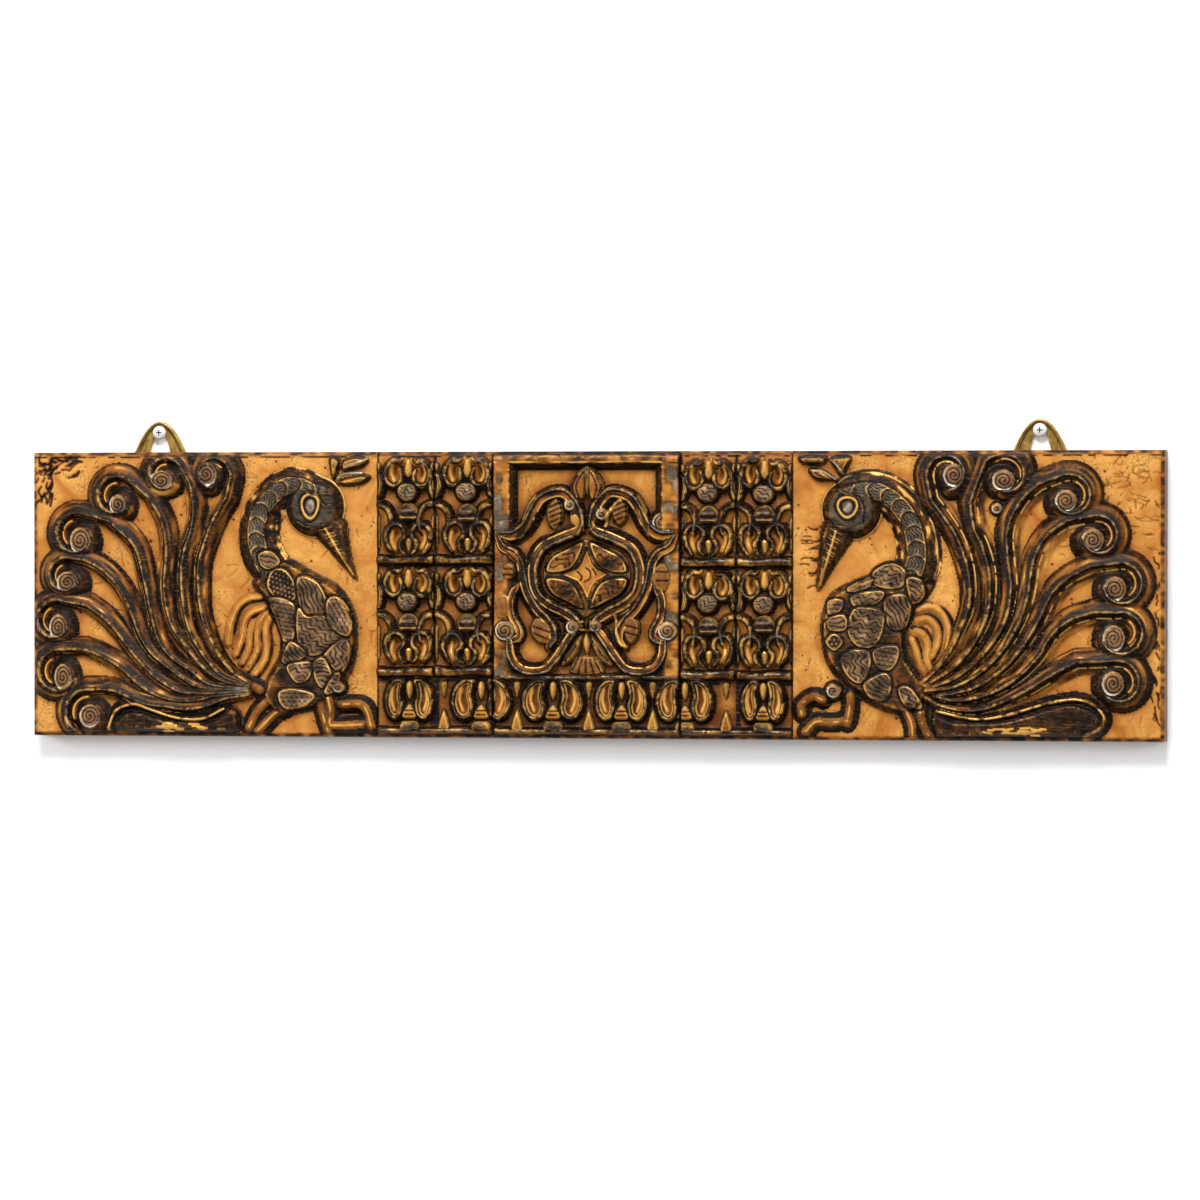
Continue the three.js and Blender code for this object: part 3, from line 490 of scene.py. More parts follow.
def pattern(kind, across, down, angle=0.0, pitch=1.7):
    """How deep a cut pattern goes at each place, from 0 to 1."""
    c, s = math.cos(math.radians(angle)), math.sin(math.radians(angle))
    x, y = (across * c + down * s) / pitch, (down * c - across * s) / pitch
    wobble = 0.25 * np.sin(x * 1.3 + 2.1 * np.sin(y * 0.7))
    if kind == "dots":
        x = x + 0.5 * (np.floor(y) % 2)
        return clamp((np.hypot(x % 1 - 0.5, y % 1 - 0.5) - 0.28) * 6)
    if kind == "scales":
        x = x * 0.8 + 0.5 * (np.floor(y) % 2)
        return clamp(1 - np.abs(np.hypot(x % 1 - 0.5, (y % 1)) - 0.55) * 7)
    if kind == "waves":
        return clamp(1 - np.abs((y * 0.8 + 0.35 * np.sin(x * 2.2 + y) + wobble) % 1 - 0.5) * 5)
    return clamp(1 - np.abs((y + wobble) % 1 - 0.5) * 4.5)


def plate(relief, points, kind="waves", angle=0.0, lift=0.1, pitch=1.5, silver=0.5, gap=0.42, grow=0.6):
    """A plate on top of a body: a groove round it, a gold edge, and a pattern cut into it."""
    outline = smooth(points, 1.0, closed=True)[:-1]
    place, depth, across, down = relief.inside(outline, 2.0)
    depth = depth + grow
    moat = peak(depth, gap)
    on_top = clamp(depth / 0.6)
    cuts = pattern(kind, across, down, angle, pitch) * (depth > 1.0)
    relief.height[place] += lift * on_top - 0.16 * moat - 0.07 * cuts
    worn = mottle(across, down, (3.4, 2.6))
    relief.paint(place, on_top, tone=0.18 + 0.38 * worn, silver=silver * (0.75 + 0.5 * worn), gold=0.0)
    relief.paint(place, cuts * on_top, tone=0.0, silver=0.0)
    relief.paint(place, on_top * np.clip(1.6 * worn - 0.5, 0, 0.7) * (1 - cuts), gold=0.42)
    edge = peak(depth - 0.7, 0.24)
    relief.paint(place, edge * np.clip(1.9 * worn, 0.3, 0.95), tone=0.4, gold=0.8)
    relief.paint(place, moat, **stain)


def thread(relief, points, width=0.5, raise_by=0.08, **finish):
    """A fine raised line, waxed gold unless told otherwise."""
    relief.cut(smooth(points, 0.8), width, -raise_by,
               **(finish or {"tone": 0.5, "gold": 0.9, "silver": 0.1}))


def groove(relief, points, width=usual_groove, depth=0.1):
    """A fine stained cut."""
    relief.cut(smooth(points, 0.8), width, depth)


def stem(relief, points, half_width=1.7, top=0.7, tone=0.25, silver=0.1, gold=0.6):
    """A round-backed strand with a waxed line along its top."""
    path = smooth(points)
    place, side, along = relief.trace(path, half_width + 2.6)
    s = np.abs(side)
    height = np.interp(s, (0, half_width * 0.6, half_width, half_width + 2.0),
                       (top, top * 0.93, top * 0.7, 0))
    line = peak(s, 0.42) * (0.4 + 0.6 * dashes(along, line_length(path), 0.7))
    relief.lay(place, height, np.where(s < half_width, tone, 0.06), silver=silver, gold=gold * line)


def strand(relief, points, hand):
    """A low loose strand of the plume: rounded, bare, with one dark flank."""
    path = smooth(points)
    place, side, along = relief.trace(path, 3.0)
    s = side * hand
    height = np.interp(s, (-2.4, -1.0, 0.0, 0.9, 1.5, 2.2), (0.0, 0.26, 0.34, 0.26, 0.08, 0.0))
    patch = streaks(along, line_length(path), s)
    dark = peak(s - 1.3, 0.42) * np.clip(2.2 * patch - 0.1, 0.25, 1)
    gold = 0.7 * peak(s + 0.2, 0.3) * dashes(along, line_length(path), 0.8)
    relief.lay(place, height, clamp(0.92 - 0.35 * patch - dark), gold=gold)


print("patterns ready: dots, scales, waves, ribs")


# %% [markdown]
# ## The birds
# A bird is a long neck with a round head and a pointed beak, a full body covered in plates, a plume
# of loose strands behind the neck, two legs, and a sprig of leaves over its head. Both have the
# same kinds of parts, so one function lays them all from a small table of places.

# %% Laying a bird
neck_section = {
    "at": (-7.6, -3.5, -2.9, -2.5, 0.0, 2.5, 2.9, 3.5, 6.6),
    "height": (0.0, 0.62, 0.76, 0.88, 1.0, 0.88, 0.76, 0.64, 0.0),
    "tone": (0.36, 0.26, 0.0, 0.08, 0.22, 0.08, 0.0, 0.26, 0.4),
}
neck_plate = 5.2
neck_back = 2.7


def neck(relief, points, widths=(1.0, 1.0)):
    """Plates overlap down the neck like tiles on a roof, each with a gold edge and fine cut lines."""
    path = smooth(points)
    length = line_length(path)
    place, side, along = relief.trace(path, 9)
    s = side / np.interp(along, (0, 1), widths)
    height, tone = (np.interp(s, neck_section["at"], neck_section[key]) for key in ("height", "tone"))
    off = np.abs(s)
    back = off < neck_back
    step = (along * length / neck_plate - 0.045 * s**2) % 1
    edge = peak(step, 0.055) + peak(step - 1, 0.055)
    after = peak(step - 0.13, 0.06)
    waved = (s * 0.9 + 0.6 * np.sin(along * length * 1.3)) % 1
    cuts = clamp(1 - np.abs(waved - 0.5) * 4) * (step > 0.2) * (step < 0.9)
    patch = streaks(along, length, s, (2.4, 1.3))
    slope = clamp(off - 3.2) * (height > 0.03)
    glint = clamp((patch - 0.74) * 6) * slope
    border = peak(off - 2.75, 0.26) * np.clip(1.4 * patch - 0.2, 0, 0.6)
    foot = peak(off - 6.3, 0.35) * np.clip(1.6 * patch - 0.2, 0.1, 0.7)
    relief.lay(place, height - back * (0.07 * after + 0.04 * cuts - 0.03 * edge),
               tone * (1 - cuts) + slope * (patch - 0.5) * 0.9,
               silver=np.where(back, 0.55 - 0.5 * np.maximum(cuts, after), 0.0),
               gold=clamp(glint + border + foot + (0.25 + 0.55 * patch) * edge * back))


# The rings round the eye, outside in: their share of the eye's size, how deep they are cut
# (negative is raised), and their finish.
eye_rings = (
    (1.3, 0.03, {"tone": 0.0, "silver": 0.1}),
    (1.0, -0.1, {"tone": 0.4, "gold": 0.95}),
    (0.72, 0.12, stain),
)


def head(relief, centre, radius, eye, eye_size):
    """A low dome with a dark wall, and an eye with a raised gold ring between two cut ones."""
    centre = np.asarray(centre, float)
    place, across, down = relief.window(centre - radius - 4, centre + radius + 4)
    r = np.hypot(across - centre[0], down - centre[1])
    dome, wall = 0.98 - 0.16 * (r / radius) ** 2, 0.82 * clamp(1 - (r - radius) / 3.2)
    patch = mottle(across, down, (1.8, 1.8))
    relief.lay(place, np.where(r < radius, dome, wall),
               np.where(r < radius, 0.06 + 0.12 * patch, 0.34 * patch),
               silver=np.where(r < radius, 0.3 + 0.25 * patch, 0),
               gold=0.8 * peak(r - radius - 2.9, 0.32))
    for share, depth, finish in eye_rings:
        ring = egg(eye, eye_size[0] * share, eye_size[1] * share, taper=-0.25)
        relief.cut(ring, 0.42, depth, **finish)
    place, across, down = relief.window(np.subtract(eye, 2.6), np.add(eye, 2.6))
    ball = np.hypot((across - eye[0]) / (eye_size[0] * 0.5), (down - eye[1]) / (eye_size[1] * 0.55))
    relief.paint(place, clamp(3 - 2.4 * ball), tone=0.34, silver=0.62, gold=0.2)
    relief.height[place] += 0.06 * clamp(1 - ball)


def beak(relief, outline, ridge):
    """A long wedge with a waxed ridge and crossing cuts near its base."""
    form(relief, outline, top=0.5, wall=2.2, dome=0.2, tone=0.2, wall_tone=0.26, silver=0.05, rim=0.3,
         spacing=0.8)
    line = smooth(ridge)
    for share in np.linspace(0.04, 0.6, 7):
        k = int(share * (len(line) - 2))
        along = (line[k + 1] - line[k]) / np.linalg.norm(line[k + 1] - line[k])
        across = np.array([-along[1], along[0]]) * 2.4 * (1 - 0.8 * share)
        ends = [line[k] - across + 0.5 * along, line[k] + across * 0.9 - 0.4 * along]
        thread(relief, ends, 0.3, 0.06, tone=0.3, gold=0.5)
    thread(relief, ridge, 0.4, 0.14, tone=0.4, gold=0.7)


def bird(relief, form_of, hand):
    """All of a bird but its tail. Hand is 1 for the bird that looks right and -1 for the other."""
    for points in form_of["strands"]:
        strand(relief, points, hand)
    place, across, down = form(relief, form_of["body"], top=0.74, wall=3.8, dome=0.16, tone=0.12,
                               wall_tone=0.3, silver=0.2, rim=0.35)
    worn = mottle(across, down, (2.6, 3.2))
    dark = (relief.height[place] > 0.1) * 0.8 * (relief.tone[place] < 0.35)
    relief.paint(place, dark, tone=0.62 * worn)
    neck(relief, form_of["neck"], form_of["neck_widths"])
    head(relief, *form_of["head"])
    beak(relief, form_of["beak"], form_of["beak_ridge"])
    for points in form_of["head_lines"]:
        groove(relief, points, 0.3, 0.07)
        thread(relief, np.add(points, (-0.6, 0.1)), 0.26, 0.04, tone=0.2, gold=0.4, silver=0.4)
    for points in form_of["legs"]:
        stem(relief, points, 1.5, 0.66, tone=0.46, gold=0.8)
    for points in form_of["leaves"]:
        form(relief, points, top=0.72, wall=1.5, dome=0.1, tone=0.3, silver=0.1, rim=0.6)
    for points in form_of["ribs"]:
        thread(relief, points, 0.45, 0.1, tone=0.3, silver=0.9, gold=0.3)
    for points, kind, angle in form_of["plates"]:
        plate(relief, points, kind, angle)
    for centre, radius in form_of["knobs"]:
        button(relief, centre, radius, 1.6, 0.72, hand)


left_bird = {
    "body": [(79.5, 45.9), (84, 41), (92, 37), (101.9, 41.8), (111.1, 46.9), (116, 54), (118, 63),
             (116.8, 74), (112.6, 82), (106, 89), (98, 91.6), (88, 92.2), (83.4, 87), (85, 79), (89.5, 70),
             (88.5, 60), (84, 53)],
    "neck": [(103, 14.6), (97, 11.9), (92, 12.3), (87.5, 15.6), (83.6, 20.6), (82, 26), (82, 32), (84, 38),
             (88, 44), (93, 50)],
    "neck_widths": (0.95, 1.15),
    "head": ((102.4, 19.3), 7.8, (101.3, 19.2), (2.9, 4.2)),
    "beak": [(101.5, 27.6), (106.5, 22), (113.4, 23.6), (114.6, 30), (116, 38), (117.9, 45.6),
             (112.4, 40.6), (107, 34.4)],
    "beak_ridge": [(106.7, 27), (110.5, 33.5), (114, 39.5), (116.2, 43)],
    "head_lines": [[(100.2, 13.8), (103.2, 15.2), (104.6, 12.8)],
                   [(104.6, 15.4), (106.6, 18.6), (109.4, 18.4)], [(104.4, 14.8), (107.6, 14.2)],
                   [(96.6, 24), (100.6, 26.2), (105.4, 25.2)]],
    "strands": [
        [(71.4, 67), (72.4, 60.6), (74.8, 54.8), (78.4, 51.8), (83, 51)],
        [(74.4, 71), (76.4, 65), (77.4, 59.4), (80, 56.4), (84, 55)],
        [(76.6, 74), (79, 69.4), (79.4, 64), (80.4, 60.6)],
        [(78.6, 76), (81.8, 70), (82, 64), (83, 59.4), (84.8, 57)],
        [(81, 78), (84.4, 73.4), (85.6, 68), (85, 62.4), (86, 59)],
    ],
    "legs": [[(86, 87), (82, 91), (79, 96.5)], [(92, 90), (88, 92), (82, 98)],
             [(104.4, 86.5), (105.6, 92), (107.4, 98)], [(107, 85), (108.2, 90), (108, 95)],
             [(112, 88.4), (119, 88.4), (121.4, 91), (122.8, 96)],
             [(108.4, 95.8), (114, 95.8), (119.4, 95.4)], [(73.4, 79.6), (77.6, 81), (83, 83.6)]],
    "leaves": [[(107.8, 1.4), (112, 2.8), (111, 7), (109, 10.4), (107.6, 6)],
               [(112, 3.2), (117, 1.4), (122, 2.6), (120, 5.4), (115, 6.8), (112, 6.6)],
               [(109.4, 10.2), (114, 8.8), (120, 7.6), (122.8, 8.8), (120, 11.4), (114, 12.2),
                (110.6, 11.6)]],
    "ribs": [[(110.4, 9.2), (113, 7.7), (119, 7.4)], [(113, 5.8), (117, 4.4), (121.4, 2.4)]],
    "plates": [
        ([(88, 41.5), (92, 41.5), (95, 45), (96, 49), (95, 52), (90, 51.5), (87, 49), (86, 46)], "dots",
         20),
        ([(96.5, 46), (98, 43.8), (101, 44.5), (104.5, 46.8), (107, 52), (106.6, 56.6), (102, 57.2),
          (98, 54.5)], "ribs", 70),
        ([(86.5, 51.6), (94.6, 53), (96, 59), (94.8, 66), (91.5, 66), (89, 60)], "scales", 10),
        ([(97, 55), (100, 57.8), (106.8, 57.8), (112.3, 64.4), (108, 69), (103, 71.2), (98.6, 69.8),
          (96.6, 64)], "waves", 30),
        ([(107.6, 52), (111, 51), (114.4, 54.6), (116, 61), (114.6, 64.4), (110.6, 62.6), (107.6, 58.6)],
         "scales", 60),
        ([(113, 65.7), (115.2, 67.6), (115, 73), (112.4, 77.3), (109, 75), (106.2, 71.4)], "waves", 80),
        ([(94.5, 66.7), (99.8, 70.6), (97, 73), (92.6, 74.3), (91, 72.6), (92.4, 69.4)], "ribs", 50),
        ([(93, 75.2), (98, 73.8), (101.6, 74.2), (101.2, 78.4), (98.6, 80.8), (95.6, 80.2)], "waves", 10),
        ([(102.6, 74), (106, 72.4), (108.8, 77.8), (107.6, 81.4), (105.4, 82.6), (103.2, 79.6)], "ribs", 0),
        ([(90, 84.6), (95, 83.2), (102.6, 85.2), (99, 89), (92, 89.6)], "scales", 0),
        ([(83, 36), (87, 35), (90, 38.6), (86.6, 41), (83.6, 39.6)], "ribs", 20),
        ([(110.4, 77.6), (112, 78.6), (108.8, 84.4), (106.4, 84)], "ribs", 40),
    ],
    "knobs": [((111, 82.4), 1.9)],
}
right_bird = {
    "body": [(285, 49), (293, 44.6), (301, 42), (308, 38), (318, 44), (320.5, 47), (315, 56), (311.6, 63),
             (312.4, 70), (317.6, 79), (319, 86), (314, 91), (305, 90.4), (297, 87), (289, 80.6),
             (283.5, 74), (281.2, 64), (281.8, 56)],
    "neck": [(292.6, 14.8), (298, 13.7), (303, 14.8), (308, 18.2), (312.4, 24), (314.6, 31), (314.9, 38),
             (312.6, 44), (308, 50)],
    "neck_widths": (0.95, 1.2),
    "head": ((292.2, 20.4), 7.6, (291.1, 19.7), (3.25, 3.45)),
    "beak": [(281.8, 25), (287, 21.8), (294.6, 27.6), (291.4, 33), (286.8, 39.6), (281.2, 48.4),
             (279.6, 47), (280.6, 36)],
    "beak_ridge": [(287, 28), (285.5, 33), (284, 38), (281.3, 46.4)],
    "head_lines": [[(294, 13.8), (291.6, 15), (288.4, 13.4)], [(288.2, 15.6), (286.4, 19), (285, 19.4)],
                   [(295.4, 16), (297, 20), (296.4, 25)], [(287, 25.6), (291.4, 26.4), (295.4, 25)]],
    "strands": [
        [(315, 55), (319, 53.6), (323.4, 55.6), (326, 60.6), (325.4, 67), (323, 73)],
        [(315, 58.6), (318.6, 57.6), (322, 60.6), (322.4, 66), (320.6, 71)],
        [(314.4, 62), (317, 63), (319, 67), (318.6, 72), (320, 76)],
        [(313.4, 65), (315, 69), (316.4, 74), (317.4, 77)],
    ],
    "legs": [[(311, 89), (313.2, 94), (313.6, 98.4)], [(316, 89), (317, 94), (319.2, 98.4)],
             [(292, 84.6), (291.6, 90), (290.6, 94)], [(276.4, 97), (280, 93.6), (285, 93.8), (291, 93.2)],
             [(275, 91), (275, 87.6), (279, 84.9), (282.2, 86)], [(307.5, 75), (311, 79), (319, 81.2)]],
    "leaves": [[(284.5, 2.4), (292, 1.9), (291.4, 5.4), (288.5, 9.2), (286, 6)],
               [(276.8, 6.4), (281, 5.8), (287.4, 10.2), (283, 10.8), (279, 10)],
               [(273.4, 2), (279, 1.5), (284, 2.2), (282.4, 5), (275, 4.8)]],
    "ribs": [[(278, 6.8), (282, 7.2), (286.6, 9.8)], [(284.8, 3.2), (287.6, 5.4), (289.2, 8)]],
    "plates": [
        ([(293.2, 49.8), (303.2, 48.6), (302.4, 51.8), (297, 54), (293.2, 53.4)], "waves", 0),
        ([(304.2, 51.6), (310.6, 49.8), (313, 54), (311, 60.6), (307.4, 61.8), (305, 59.4)], "ribs", 60),
        ([(293.6, 54.8), (299, 54.4), (303.4, 56), (303.2, 62), (300.6, 67), (296, 68), (292.2, 64.6),
          (291.4, 60)], "waves", 15),
        ([(284.2, 52), (289.4, 51.8), (288.2, 55.6), (284.6, 56.4)], "scales", 0),
        ([(283.8, 66), (286.5, 63.2), (289.3, 66), (286.5, 68.9)], "dots", 0),
        ([(289, 72), (292.4, 69.2), (298, 69.2), (299, 73.4), (297, 79), (294.4, 80), (291, 77.4)], "waves",
         70),
        ([(300.4, 68.9), (308.3, 67.6), (308, 73), (305, 75.8), (301.4, 74.4)], "scales", 10),
        ([(296.8, 81), (300, 78.4), (304.4, 76.8), (306.2, 80.4), (304.4, 85.8), (299.4, 85.2)], "ribs",
         30),
        ([(309, 82.2), (313, 82), (316.8, 88.4), (311.4, 88)], "waves", 50),
        ([(284.6, 58), (290, 57), (290.4, 61.6), (285, 61.8)], "ribs", 0),
        ([(300, 41.6), (306, 39), (311, 41.6), (310, 46.6), (304, 47.4), (299.8, 45.4)], "waves", 20),
        ([(291, 47.4), (298.4, 43.8), (299.2, 46.6), (293, 48.8)], "scales", 0),
        ([(311.8, 44.5), (316.6, 44.8), (317.4, 50), (313.8, 52.6)], "ribs", 40),
    ],
    "knobs": [((286, 83), 2.3)],
}
print(len(left_bird["plates"]), "and", len(right_bird["plates"]), "plates on the two bodies")


# %% [markdown]
# ## Tiles
# On either side of the centre stand two columns of tiles in two rows, and a row of larger drops runs
# under the whole block. Every tile repeats the same motif: a pair of hollow drops, a boss, a barrel,
# and a pair of upturned drops at its foot. A hollow drop is a rim with a silver thread round a
# scooped, golden middle. Small changes from tile to tile come from one seeded source of chance.

# %% The tile's forms
rim_section = {
    "at": (-2.6, -1.7, -1.0, -0.4, 0.0, 0.4, 0.85, 1.4, 2.3, 3.4),
    "height": (0.0, 0.46, 0.82, 0.97, 1.0, 0.94, 0.7, 0.46, 0.24, 0.0),
    "tone": (0.5, 0.2, 0.03, 0.0, 0.1, 0.0, 0.04, 0.55, 0.95, 1.0),
}
drop_line = [(-2.0, 0.8), (-3.2, 1.8), (-4.9, 1.5), (-7.0, 3.2), (-7.8, 6.0), (-6.9, 8.8), (-4.8, 9.9),
             (-2.8, 8.9), (-2.2, 6.6), (-2.9, 4.4)]
arch_line = [(-5.6, 33), (-7.2, 30.2), (-7.9, 27.2), (-7.2, 24.5), (-5, 23), (-3, 23.6), (-1.6, 25.6),
             (-1.8, 27.6), (-3, 28.9), (-3.3, 30.6), (-2.6, 32.4), (-1.4, 33.4)]
closed_drop = [(-1.9, 0.7), (-4.6, 0.6), (-7.1, 2.8), (-7.9, 6.0), (-6.9, 8.9), (-4.9, 10.1), (-2.9, 9.2),
               (-2.2, 6.8), (-2.8, 4.6), (-2.5, 2.4)]
flame_line = [(-5.5, 2.8), (-5.9, 5.4), (-5.0, 8.0)]
low_flame_line = [(-5.4, 26), (-5.8, 29), (-4.6, 32)]
seam_line = [(-4.6, 25.6), (-5.2, 22.6), (-4.6, 19.8), (-3, 17.4), (0, 16.6), (3, 17.4), (4.7, 19.4),
             (5.3, 22.2), (4.6, 25.6)]


row_top = 79
drop_spread = 9.4


def hollow(relief, outline, rim=1.15, top=0.94, floor=0.3, wall=1.5, tone=0.72):
    """A closed rim round a scooped middle, painted lighter towards its right as if lit from the left."""
    place, depth, across, _ = relief.inside(outline, wall + 0.8)
    middle = np.mean(outline, axis=0)
    full = max(depth.max(initial=0), rim + 0.6)
    height = np.interp(depth, (-wall, -0.25, 0.25, 0.7, rim, rim + 0.9, full),
                       (0, 0.72 * top, top, top * 0.97, 0.6 * top, floor + 0.1, floor))
    silver = clamp(1.2 - np.abs(depth - 0.42) / 0.36)
    shade = np.interp(depth, (-wall, -0.8, 0, rim, rim + 0.55, full),
                      (0.3, 0.05, 0.0, 0.05, 0.8 * tone, tone))
    # painted light: the hollow is lighter towards its right, as its right inner wall would be lit from the
    # left
    side = clamp(0.5 + (across - middle[0]) * 0.35)
    edge = peak(depth - rim - 0.35, 0.32)
    relief.lay(place, height, shade * (0.65 + 0.35 * side), silver=0.6 * silver, gold=0.65 * edge)


def rim_strand(relief, line, origin, turn=1, hand=1, width=0.8):
    """An open rim on one of the lines above, moved to its place and mirrored where turn is -1."""
    widths = ((0, 0.12, 0.85, 1), (0.55 * width, width, width, 0.6 * width))
    path = smooth(moved(line, *origin, turn), 0.8)
    stroke(relief, path, rim_section, hand * turn, widths, top=0.96, patchy=0.4, silver=0.9, gold=0.35)


def boss(relief, centre, across_radius, down_radius, top=0.82, wall=1.3):
    """A round button with wavy cuts, waxed silver, and gold where the light would catch it."""
    outline = egg(centre, across_radius, down_radius, taper=-0.12)
    place, depth, across, down = relief.inside(outline, wall + 0.6)
    cuts = pattern("waves", across, down, 15, 1.2) * (depth > 0.6)
    height = np.interp(depth, (-wall, 0, 0.5, 3), (0, top * 0.86, top, top + 0.08)) - 0.05 * cuts
    rim = peak(depth - 0.1, 0.3)
    # painted highlight: gold on the boss's upper left, where the light would catch it
    painted_highlight = clamp(0.6 - (across - centre[0] + down - centre[1]) / 8)
    relief.lay(place, height, np.where(depth > 0.2, 0.34 * (1 - cuts), 0.04),
               silver=np.where(depth > 0.3, 0.57 * (1 - cuts), 0),
               gold=np.maximum(0.35 * rim, 0.4 * painted_highlight * (depth > 0.3) * (1 - cuts)))


def barrel(relief, centre, across_radius, down_radius):
    """A low round boss with a cap above and two cut lines across it."""
    outline = egg(centre, across_radius + 0.4, down_radius + 0.4, taper=0)[:-1:3]
    form(relief, outline, top=0.78, wall=0.9, dome=0.14, tone=0.1, wall_tone=0.1, silver=0.2, rim=0.3)
    u, v = centre
    for offset, lift in ((0.16, 0.1), (0.3, -0.08), (0.5, 0.1)):
        level = v + offset * 2 * down_radius - 0.6
        line = [(u - across_radius * 0.82, level), (u + across_radius * 0.82, level)]
        if lift > 0:
            groove(relief, line, 0.4, lift)
        else:
            relief.cut(smooth(line), 0.3, lift, tone=0.5, gold=0.55)
    cap = [(u - across_radius * 0.6, v - 0.9), (u + across_radius * 0.5, v - 1.0)]
    relief.cut(smooth(cap), 0.5, -0.05, tone=0.3, silver=0.6)


def bar(relief, left, right, level, sag=0.4, half=1.3, top=0.86):
    """A round-backed bar that isn't quite straight, with a broken silver line along it."""
    path = smooth([(left, level), ((2 * left + right) / 3, level + sag),
                   ((left + 2 * right) / 3, level - sag * 0.3), (right, level + sag * 0.2)])
    place, side, along = relief.trace(path, half + 1.4)
    s = np.abs(side)
    height = np.interp(s, (0, half * 0.7, half, half + 0.9), (top, top * 0.95, top * 0.75, 0))
    line = peak(side + half * 0.35, 0.4) * (0.35 + 0.65 * dashes(along, right - left, 0.7))
    foot = peak(side - half, 0.3)
    relief.lay(place, height, 0.07 + 0.22 * (side > 0), silver=0.7 * line, gold=0.25 * foot)


def slip():
    """A small slip of the carver's hand, in grid units."""
    return chance.normal(0, 0.2)


def tile(relief, middle, top):
    """One tile, laid down from its top middle."""
    for turn in (1, -1):
        rim_strand(relief, drop_line, (middle + slip(), top + slip()), turn, hand=-1)
        rim_strand(relief, arch_line, (middle + slip(), top + slip()), turn)
        for line in (flame_line, low_flame_line):
            thread(relief, moved(line, middle, top, turn), 0.55, 0.16, tone=1.0, gold=0.7)
    bud = [(-0.9, 0.8), (0.9, 0.8), (1.5, 5), (0, 7.6), (-1.5, 5)]
    form(relief, moved(bud, middle, top), top=0.6, wall=0.8, dome=0.1, tone=0.85, wall_tone=0.4,
         silver=0.0, rim=0.6)
    boss(relief, (middle - 0.3, top + 11.9 + slip()), 3.4 + 0.3 * slip(), 3.1)
    barrel(relief, (middle, top + 19.6 + slip()), 3.5, 3.5)
    point = [(-1.4, 28), (1.4, 28), (1.1, 31), (0, 33.2), (-1.1, 31)]
    form(relief, moved(point, middle, top), top=0.4, wall=0.9, tone=0.95, wall_tone=0.5,
         silver=0.0, rim=0.8)


def seam_forms(relief, seam, top):
    """A crown, a hanging drop and a tall arch that straddle the seam between two tiles."""
    crown = [(-1.8, 2.6), (0, 1.2), (1.8, 2.6), (1, 5.4), (-1, 5.4)]
    form(relief, moved(crown, seam, top), top=0.7, wall=0.9, tone=0.4, silver=0.4)
    hollow(relief, egg((seam + 0.4, top + 10.2), 2.1, 4.4, taper=-0.2), rim=0.8, tone=0.6, top=0.84)
    rim_strand(relief, seam_line, (seam, top), width=0.9)
    filling = [(-1.4, 21), (0, 19.8), (1.4, 21), (1.2, 32), (0, 33), (-1.2, 32)]
    form(relief, moved(filling, seam, top), top=0.5, wall=1.0, tone=0.8, wall_tone=0.3,
         silver=0.0, rim=0.5)


def cut_seam(relief, u, top, bottom, width=0.42, depth=0.85):
    """An upright seam that wavers a little on its way down."""
    waver = [(u, top), (u + 0.15, (top * 2 + bottom) / 3), (u - 0.1, (top + bottom * 2) / 3), (u, bottom)]
    relief.cut(smooth(waver), width, depth)


def tile_block(relief, seams, middles, row_tops, bars, row_bottom):
    """Two columns of tiles and two rows, with bars under the rows and cut seams between the columns."""
    place, _, _ = relief.window((seams[0], 1.2), (seams[2], row_bottom))
    relief.paint(place, 1.0, tone=0.88)
    for top in row_tops:
        for seam in seams:
            seam_forms(relief, seam, top)
        for middle in middles:
            tile(relief, middle, top)
    for level in bars:
        for left, right in zip(seams[:-1], seams[1:]):
            bar(relief, left + 0.6, right - 0.6, level + chance.normal(0, 0.15))
    cut_seam(relief, seams[1], 2, 98)
    for level in bars:
        groove(relief, [(seams[0], level + 1.9), (seams[2], level + 1.9)], 0.4, 0.5)


